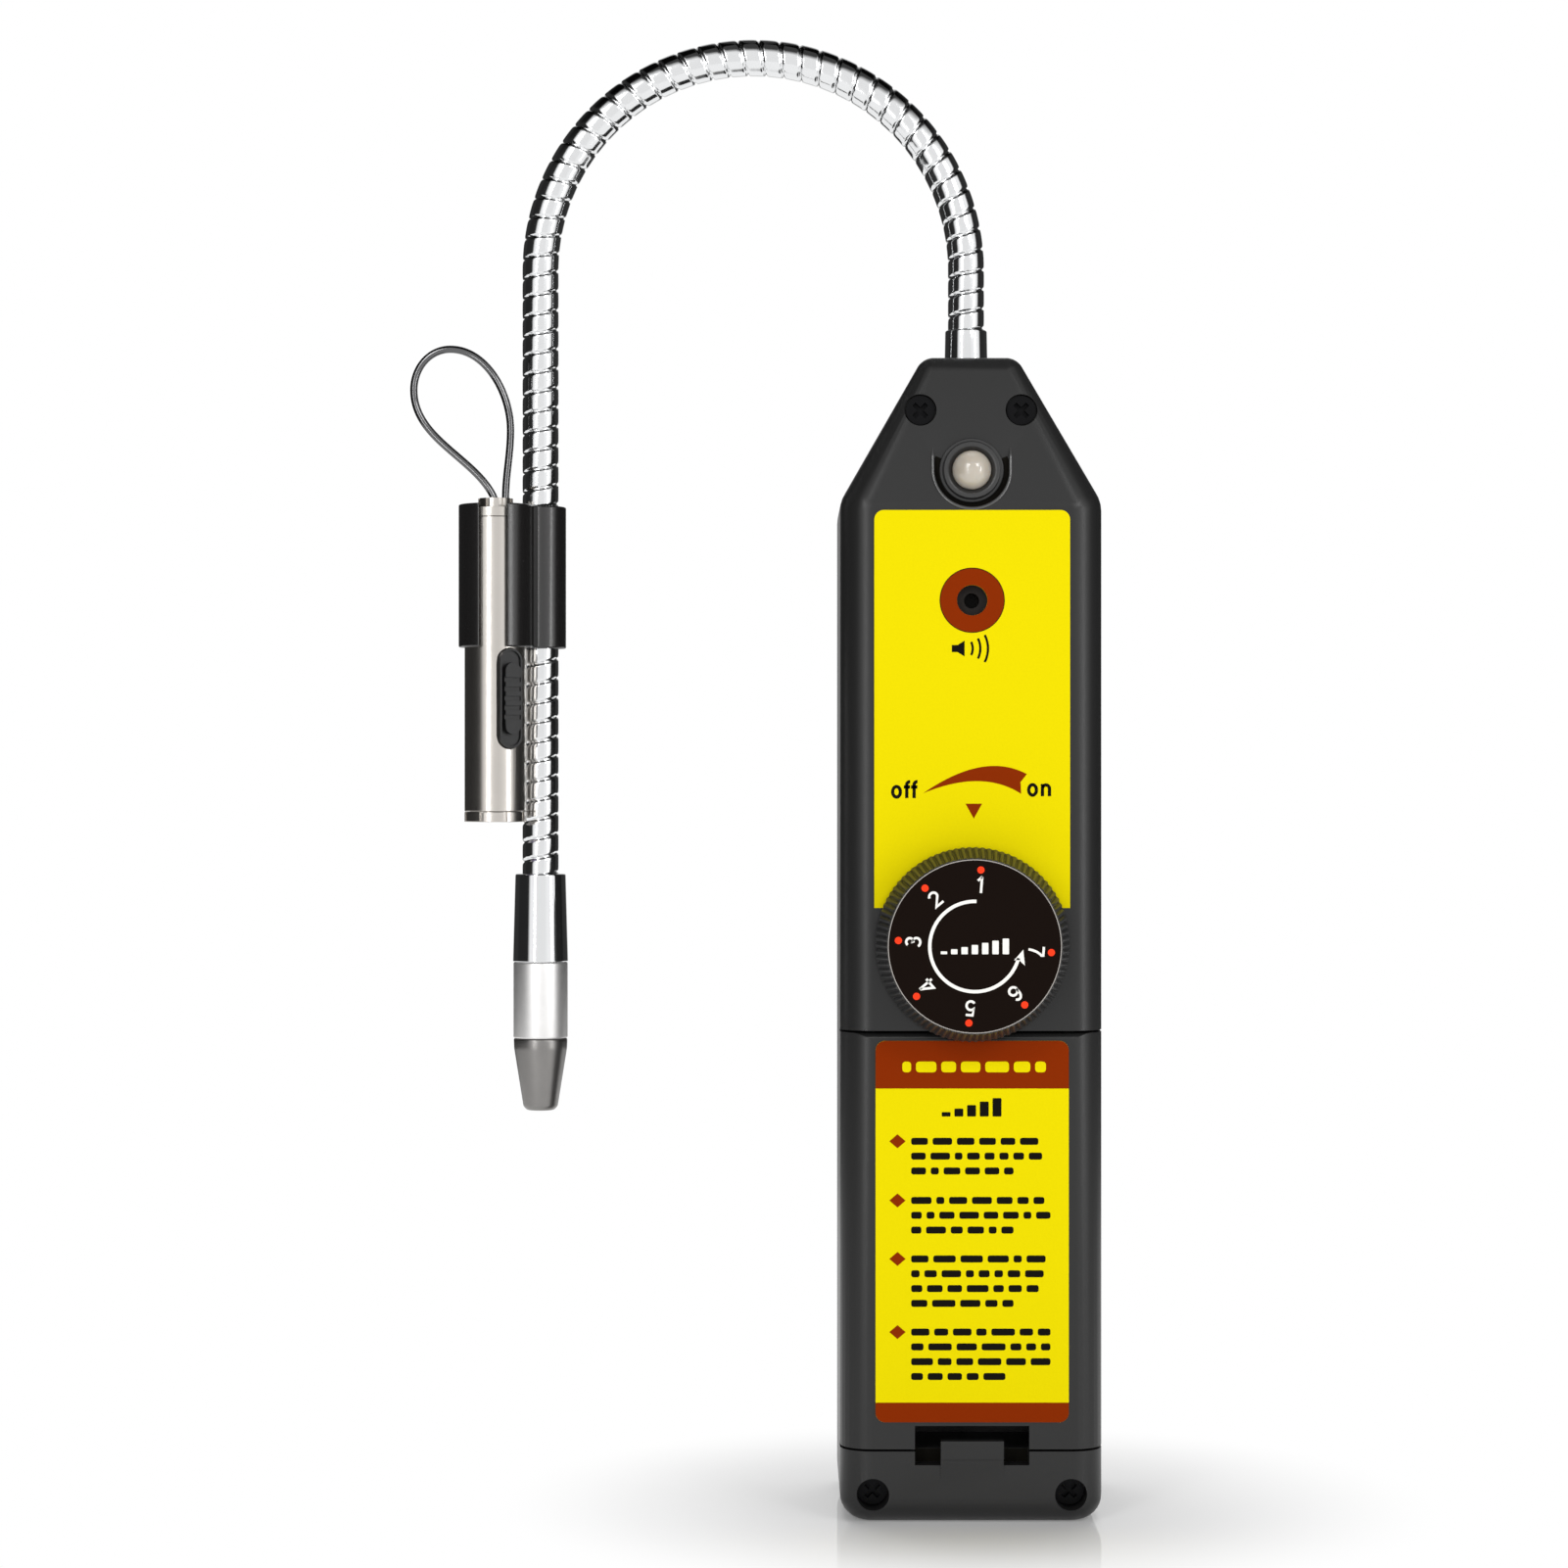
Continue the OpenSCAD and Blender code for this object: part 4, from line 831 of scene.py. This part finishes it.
class DETECTOR_OT_lamp(bpy.types.Operator):
    """Signal lamp, its holder, the rim of its pocket with a painted highlight, and painted shade on the
    pocket's floor
    """

    bl_idname = "detector.lamp"
    bl_label = "Lamp"

    def execute(self, context):
        skin("lamp_bezel", "bezel", bevel=0.15)
        skin("lamp_lens", "lamp", angle=60)
        self.rim()
        return {"FINISHED"}

    def rim(self):
        """Bead along the pocket's edge: down one side, half a circle below the lamp, up the other side. It
        follows the lean of the head and thins out at both ends; its lighter grey is a painted highlight. A dark
        sheet of painted shade lies on the pocket's floor."""
        r, taper = sizes().pocket / 2, 1.5
        side = np.linspace(POCKET_RISE, 0, 14)[:-1]
        a = np.radians(np.linspace(180, 360, 60))
        x = np.concatenate([np.full(len(side), -r), r * np.cos(a), np.full(len(side), r)])
        up = np.concatenate([side, r * np.sin(a), side[::-1]])
        y = FRONT_Y + HEAD_LEAN * np.maximum(0, up + LEAN_DROP)
        path = np.stack([x, y, up + LAMP_Z], 1)
        thick = sizes().rim / 2 * np.clip((POCKET_RISE - up) / taper, 0.1, 1)
        mesh = mesh_from("pocket_rim", *tube(path, thick))
        # The bead's lighter grey material is a painted highlight along the pocket's edge
        finish_piece("pocket_rim", mesh, "rim", "case")
        # The dark ink sheet on the pocket's floor is painted shade, where the pocket's walls would leave it in
        # shadow
        floor_y = FRONT_Y + HEAD_LEAN * (POCKET_RISE + LEAN_DROP)
        painted_floor_shade = ring_sector(0, LAMP_Z, PAINTED_SHADE_R, r - 0.05, 158, 382)
        print_shapes("pocket_painted_floor_shade", [painted_floor_shade], floor_y - sizes().print_lift, "ink", "case")


class DETECTOR_OT_neck(bpy.types.Operator):
    """Banded neck in four lengths, each around one joint's place in the bend, and the collar at its root"""

    bl_idname = "detector.neck"
    bl_label = "Neck"

    def execute(self, context):
        rise, degree = BEND_Z - CROWN_Z, np.pi * BEND_R / 180
        total = rise + np.pi * BEND_R + BEND_Z - COLLAR_HIGH[2]
        # The first length starts inside the ferrule, the last one ends inside the tip's collar, and the
        # others meet at these degrees of the bend
        start, overlap, cuts = 2.4, 3.0, (62.5, 117.5, 162.5)
        ends = [start, *(rise + cut * degree for cut in cuts), total + overlap]
        leg_nodes = ["neck_falling_link", "neck_leg_link"]
        # Name, both bodies, their joint, its place in degrees of the bend, and the nodes that it replaces
        lengths = [
            ("hose_lower", "case", "neck_rising", "neck_lower_bend", 35, ["neck_root"]),
            ("hose_top", "neck_rising", "neck_top", "neck_top_swing", 90, ["neck_rising_link"]),
            ("hose_far", "neck_top", "neck_falling", "neck_far_bend", 145, ["neck_top_link"]),
            ("hose_leg", "neck_falling", "probe", "neck_leg_tilt", 180, leg_nodes),
        ]
        for (name, a, b, joint, angle, nodes), s0, s1 in zip(lengths, ends[:-1], ends[1:]):
            mesh = mesh_from(name, *banded_hose(s0, s1))
            piece = finish_piece(name, mesh, "chrome", None, nodes)
            turn = math.radians(angle)
            along = np.array([-math.sin(turn), 0, math.cos(turn)]) * sizes().bend_reach * MM
            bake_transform(piece)
        self.collar()
        return {"FINISHED"}

    def collar(self):
        """Turned collar: a slightly flared cylinder with a rounded rim that closes on the hose."""
        high = FERRULE_Z - CROWN_Z
        r, flare, foot_r, sunk, lap, edge = NECK_R + 0.45, 0.1, 2.9, 1.0, 0.8, 0.35
        corners = [
            (foot_r, -sunk),
            (foot_r, SEAM),
            (r + flare, SEAM),
            (r, high),
            (GRIP_R, high),
            (GRIP_R, high - lap),
        ]
        mesh = mesh_from("ferrule", *lathe(rounded(corners, edge), (0, 0, CROWN_Z)))
        finish_piece("ferrule", mesh, "bright", "case", ["neck_ferrule"])


class DETECTOR_OT_probe(bpy.types.Operator):
    """Collar, sleeve and nose of the sensor tip"""

    bl_idname = "detector.probe"
    bl_label = "Sensor tip"

    def execute(self, context):
        top, low, end = COLLAR_HIGH[2], NOSE_HIGH[2], NOSE_LOW[2]
        joint = COLLAR_LOW[2]
        collar_r, sleeve_r, nose_r, core_r, inlet_r = 4.48, 4.4, 4.36, 3.3, 1.32
        collar = [
            (GRIP_R, top - 1.2),
            (GRIP_R, top),
            (4.1, top),
            (collar_r, joint + 0.4),
            (collar_r, joint + SEAM),
            (3.4, joint + SEAM),
        ]
        sleeve = [
            (core_r, joint - SEAM),
            (sleeve_r, joint - SEAM),
            (sleeve_r, low + SEAM),
            (core_r, low + SEAM),
        ]
        nose = [
            (core_r, low - SEAM),
            (nose_r, low - SEAM),
            (4.3, low - 1.6),
            (2.78, end + 0.6),
            (2.2, end),
            (inlet_r, end),
            (inlet_r, end + 2.0),
        ]
        self.turned("collar", collar, "bright", "tip_chrome", ["probe_collar"])
        self.turned("sleeve", sleeve, "satin", "tip_satin", ["sensor_sleeve"])
        self.turned("nose", nose, "nose", "nose_satin", ["nose_cap"])
        return {"FINISHED"}

    def turned(self, name, line, material, slot, nodes):
        """Outline of (radius, height), its corners rounded, turned about the neck's long leg."""
        points, faces = lathe(rounded(line, 0.3), (LEG_X, 0, 0), segments=128)
        finish_piece(name, mesh_from(name, points, faces[:, ::-1]), material, "probe", nodes)


class DETECTOR_OT_torch(bpy.types.Operator):
    """Torch, its clip, switch and hanging wire"""

    bl_idname = "detector.torch"
    bl_label = "Torch"

    def execute(self, context):
        skin("torch_clip", "clip", bevel=0.25)
        for node in ("torch_barrel", "torch_tail_cap", "torch_head_ring"):
            skin(node, "barrel", bevel=0.1)
        skin("torch_switch_plate", "switch", bevel=0.08)
        skin("torch_slider", "switch", bevel=0.08)
        skin("torch_lens", "glass")
        self.wire()
        return {"FINISHED"}

    def wire(self):
        """Round wire along four cubic curves (1-t)^3 a + 3t(1-t)^2 b + 3t^2(1-t) c + t^3 d."""
        curves = [
            [[-0.2, 0], [-3, 6.5], [-13.2, 9.5], [-13.2, 17.5]],
            [[-13.2, 17.5], [-13.2, 21.2], [-10.6, 24.1], [-7.3, 24.1]],
            [[-7.3, 24.1], [-1.5, 24.1], [2.4, 17], [2.4, 11.1]],
            [[2.4, 11.1], [2.4, 7], [1.6, 4], [1.6, 0]],
        ]
        # Both ends run on straight into the tail cap
        sunk = 1.3
        (start_x, _), (end_x, end_z) = curves[0][0], curves[-1][-1]
        t = np.linspace(0, 1, 40)[:-1, None]
        path = [[[start_x, -sunk]]]
        for a, b, c, d in np.array(curves, float):
            path.append((1 - t) ** 3 * a + 3 * t * (1 - t) ** 2 * b + 3 * t**2 * (1 - t) * c + t**3 * d)
        path = np.concatenate(path + [[[end_x, end_z], [end_x, -sunk]]])
        path = np.stack([path[:, 0], np.zeros(len(path)), path[:, 1]], 1)
        path += np.array([TORCH_X, TORCH_Y, TAIL_Z])
        mesh = mesh_from("wire_loop", *tube(path, sizes().wire / 2))
        finish_piece("wire_loop", mesh, "wire", "torch", ["torch_wire_loop"])


class DETECTOR_OT_inside(bpy.types.Operator):
    """Materials of the pieces inside the case, tip and torch"""

    bl_idname = "detector.inside"
    bl_label = "Inside"

    def execute(self, context):
        finishes = {
            "pot_body": "can",
            "pot_shaft": "can",
            "pot_nut": "nickel",
            "circuit_board": "board",
            "board_screws": "nickel",
            "buzzer": "sounder",
            "battery_cells": "sleeve",
            "battery_contacts": "nickel",
            "battery_springs": "nickel",
            "sensor_element": "brass",
            "inlet_filter": "brass",
            "torch_lamp": "lamp",
            "torch_cells": "nickel",
        }
        for node, material in finishes.items():
            NODES[node].data.materials.clear()
            NODES[node].data.materials.append(PALETTE[material])
        return {"FINISHED"}


class DETECTOR_OT_stage(bpy.types.Operator):
    """White floor, soft lamps, surroundings and camera"""

    bl_idname = "detector.stage"
    bl_label = "Stage"

    # Brightness of the studio by height, as the sine of the elevation: dark ground, walls, dark ceiling
    heights = ((-0.8, 0.05), (-0.55, 1.0), (0.55, 1.0), (0.8, 0.05))
    # Brightness of the studio's walls by azimuth in degrees, from the rear round by the left
    walls = (
        (-180, 0.7), (-166, 0.7), (-156, 0.03), (-112, 0.03), (-100, 0.02), (-52, 0.02), (-42, 1.0), (-22, 1.0),
        (-12, 0.9), (22, 0.9), (32, 1.0), (70, 1.0), (80, 0.02), (156, 0.04), (166, 0.7), (180, 0.7),
    )

    def execute(self, context):
        self.floor()
        self.surroundings()
        # Two front lamps, which also show as a pair of sparks on the signal lamp's dome
        self.lamp("key_left", (-300, -620, 480), (0, 0, 90), (200, 200), 0.85)
        self.lamp("key_right", (363, -590, 472), (0, 0, 90), (200, 200), 0.85)
        # The overhead lamp lights from above without a mirror image along the top of the neck
        self.lamp("top", (-20, 170, 720), (-20, 0, 0), (420, 420), 3.4).visible_glossy = False
        # Upright strips whose reflections run down the rounded edges of the case
        self.lamp("strip_left", (-370, -760, 130), (0, -20, 110), (60, 520), 0.95)
        self.lamp("strip_right", (690, -580, 130), (0, -20, 110), (90, 520), 1.15)
        self.camera()
        context.scene.view_settings.view_transform = "Standard"
        return {"FINISHED"}

    def floor(self):
        """Round sheet that takes a soft shadow and a faint mirror image near the middle and glows white
        further out."""
        near, far, size, drop = 24 * MM, 78 * MM, 460.0, 0.05
        material = bpy.data.materials.new("white_gloss_board")
        material.use_nodes = True
        tree = material.node_tree
        tree.nodes.clear()
        place = add(tree, "ShaderNodeTexCoord").outputs["Object"]
        reach = add(tree, "ShaderNodeVectorMath", {0: place}, operation="LENGTH").outputs["Value"]
        # Shares of glow and of mirror image, each at the near and at the far radius
        levels = ((0.22, 1.0), (0.3, 0.0))
        white, shine = (
            add(
                tree,
                "ShaderNodeMapRange",
                {"Value": reach, "From Min": near, "From Max": far, "To Min": start, "To Max": end},
                interpolation_type="SMOOTHSTEP",
            ).outputs["Result"]
            for start, end in levels
        )
        matt = add(tree, "ShaderNodeBsdfDiffuse", {"Color": srgb("#f6f6f6")})
        glow = add(tree, "ShaderNodeEmission", {"Color": (1, 1, 1, 1), "Strength": 1.0})
        gloss = add(tree, "ShaderNodeBsdfGlossy", {"Color": (1, 1, 1, 1), "Roughness": 0.04})
        sheet = add(tree, "ShaderNodeMixShader", {0: white, 1: matt.outputs[0], 2: glow.outputs[0]})
        board = add(tree, "ShaderNodeMixShader", {0: shine, 1: sheet.outputs[0], 2: gloss.outputs[0]})
        add(tree, "ShaderNodeOutputMaterial", {"Surface": board.outputs[0]})
        rim = disc(0.0, 0.0, size, 96)
        points = np.stack([rim[:, 0], rim[:, 1], np.full(len(rim), -drop)], 1)
        mesh = mesh_from("floor", points, [np.arange(len(rim))], smooth=False)
        mesh.materials.append(material)
        floor = bpy.data.objects.new("floor", mesh)
        bpy.context.scene.collection.objects.link(floor)

    def surroundings(self):
        """White to the camera; to everything else a studio with a bright front, dark sides and a paler
        rear wall."""
        world = bpy.data.worlds.new("studio")
        bpy.context.scene.world = world
        world.use_nodes = True
        tree = world.node_tree
        tree.nodes.clear()
        way = add(tree, "ShaderNodeTexCoord").outputs["Generated"]
        part = add(tree, "ShaderNodeSeparateXYZ", {"Vector": way})
        # Azimuth from the front towards the right, as a share of a whole turn that starts at the rear
        ahead = add(tree, "ShaderNodeMath", {0: part.outputs["Y"], 1: -1.0}, operation="MULTIPLY")
        turn = add(tree, "ShaderNodeMath", {0: part.outputs["X"], 1: ahead.outputs[0]}, operation="ARCTAN2")
        share = add(
            tree, "ShaderNodeMapRange", {"Value": turn.outputs[0], "From Min": -math.pi, "From Max": math.pi}
        )
        round_wall = self.ramp(tree, share.outputs["Result"], [((d + 180) / 360, v) for d, v in self.walls])
        rise = add(
            tree, "ShaderNodeMapRange", {"Value": part.outputs["Z"], "From Min": -1.0, "From Max": 1.0}
        )
        up_wall = self.ramp(tree, rise.outputs["Result"], [((z + 1) / 2, v) for z, v in self.heights])
        level = add(tree, "ShaderNodeVectorMath", {0: round_wall, 1: up_wall}, operation="MULTIPLY")
        seen = add(tree, "ShaderNodeLightPath").outputs["Is Camera Ray"]
        view = shade_between(tree, seen, level.outputs["Vector"], (1, 1, 1, 1))
        glow = add(tree, "ShaderNodeBackground", {"Color": view, "Strength": 1.0})
        add(tree, "ShaderNodeOutputWorld", {"Surface": glow.outputs[0]})

    def ramp(self, tree, factor, stops):
        """Grey levels along a factor: each stop gives a place from 0 to 1 and a level."""
        made = add(tree, "ShaderNodeValToRGB", {"Fac": factor})
        elements = made.color_ramp.elements
        while len(elements) < len(stops):
            elements.new(0.5)
        for element, (place, level) in zip(elements, stops):
            element.position = place
            element.color = (level, level, level, 1)
        return made.outputs["Color"]

    def lamp(self, name, place, target, size, power):
        """Oblong soft lamp at a place, turned to a target; lengths in millimetres, power in watts."""
        data = bpy.data.lights.new(name, "AREA")
        data.shape = "RECTANGLE"
        data.size = size[0] * MM
        data.size_y = size[1] * MM
        data.energy = power
        lamp = bpy.data.objects.new(name, data)
        bpy.context.scene.collection.objects.link(lamp)
        lamp.location = Vector(place) * MM
        lamp.rotation_euler = (Vector(target) - Vector(place)).to_track_quat("-Z", "Y").to_euler()
        return lamp

    def camera(self):
        """Level camera 0.63 m in front, left of the case and a little above its middle."""
        place = (-29.6, -630, 116.5)
        data = bpy.data.cameras.new("camera")
        data.sensor_width = 36.0
        data.lens = 88.9
        data.clip_start = 0.01
        camera = bpy.data.objects.new("camera", data)
        bpy.context.scene.collection.objects.link(camera)
        camera.location = [v * MM for v in place]
        camera.rotation_euler = (math.radians(90), 0, 0)
        bpy.context.scene.camera = camera


class DETECTOR_PT_panel(bpy.types.Panel):
    """Lists the detector's pieces and their settings"""

    bl_idname = "DETECTOR_PT_panel"
    bl_label = "Leak detector"
    bl_space_type = "VIEW_3D"
    bl_region_type = "UI"
    bl_category = "Detector"

    def draw(self, context):
        for operator in OPERATORS:
            self.layout.operator(operator.bl_idname)
        for group in (sizes(), colours()):
            for key in group.__annotations__:
                self.layout.prop(group, key)


OPERATORS = (
    DETECTOR_OT_case,
    DETECTOR_OT_labels,
    DETECTOR_OT_dial,
    DETECTOR_OT_lamp,
    DETECTOR_OT_neck,
    DETECTOR_OT_probe,
    DETECTOR_OT_torch,
    DETECTOR_OT_inside,
    DETECTOR_OT_stage,
)
CLASSES = (DetectorSizes, DetectorColours, *OPERATORS, DETECTOR_PT_panel)


def register():
    for cls in CLASSES:
        bpy.utils.register_class(cls)
    setattr(bpy.types.Scene, SCENE_SIZES, bpy.props.PointerProperty(type=DetectorSizes))
    setattr(bpy.types.Scene, SCENE_COLOURS, bpy.props.PointerProperty(type=DetectorColours))


def unregister():
    delattr(bpy.types.Scene, SCENE_SIZES)
    delattr(bpy.types.Scene, SCENE_COLOURS)
    for cls in reversed(CLASSES):
        bpy.utils.unregister_class(cls)


def main():
    register()
    make_palette()
    for operator in OPERATORS:
        group, name = operator.bl_idname.split(".")
        getattr(getattr(bpy.ops, group), name)()


if __name__ == "__main__":
    main()
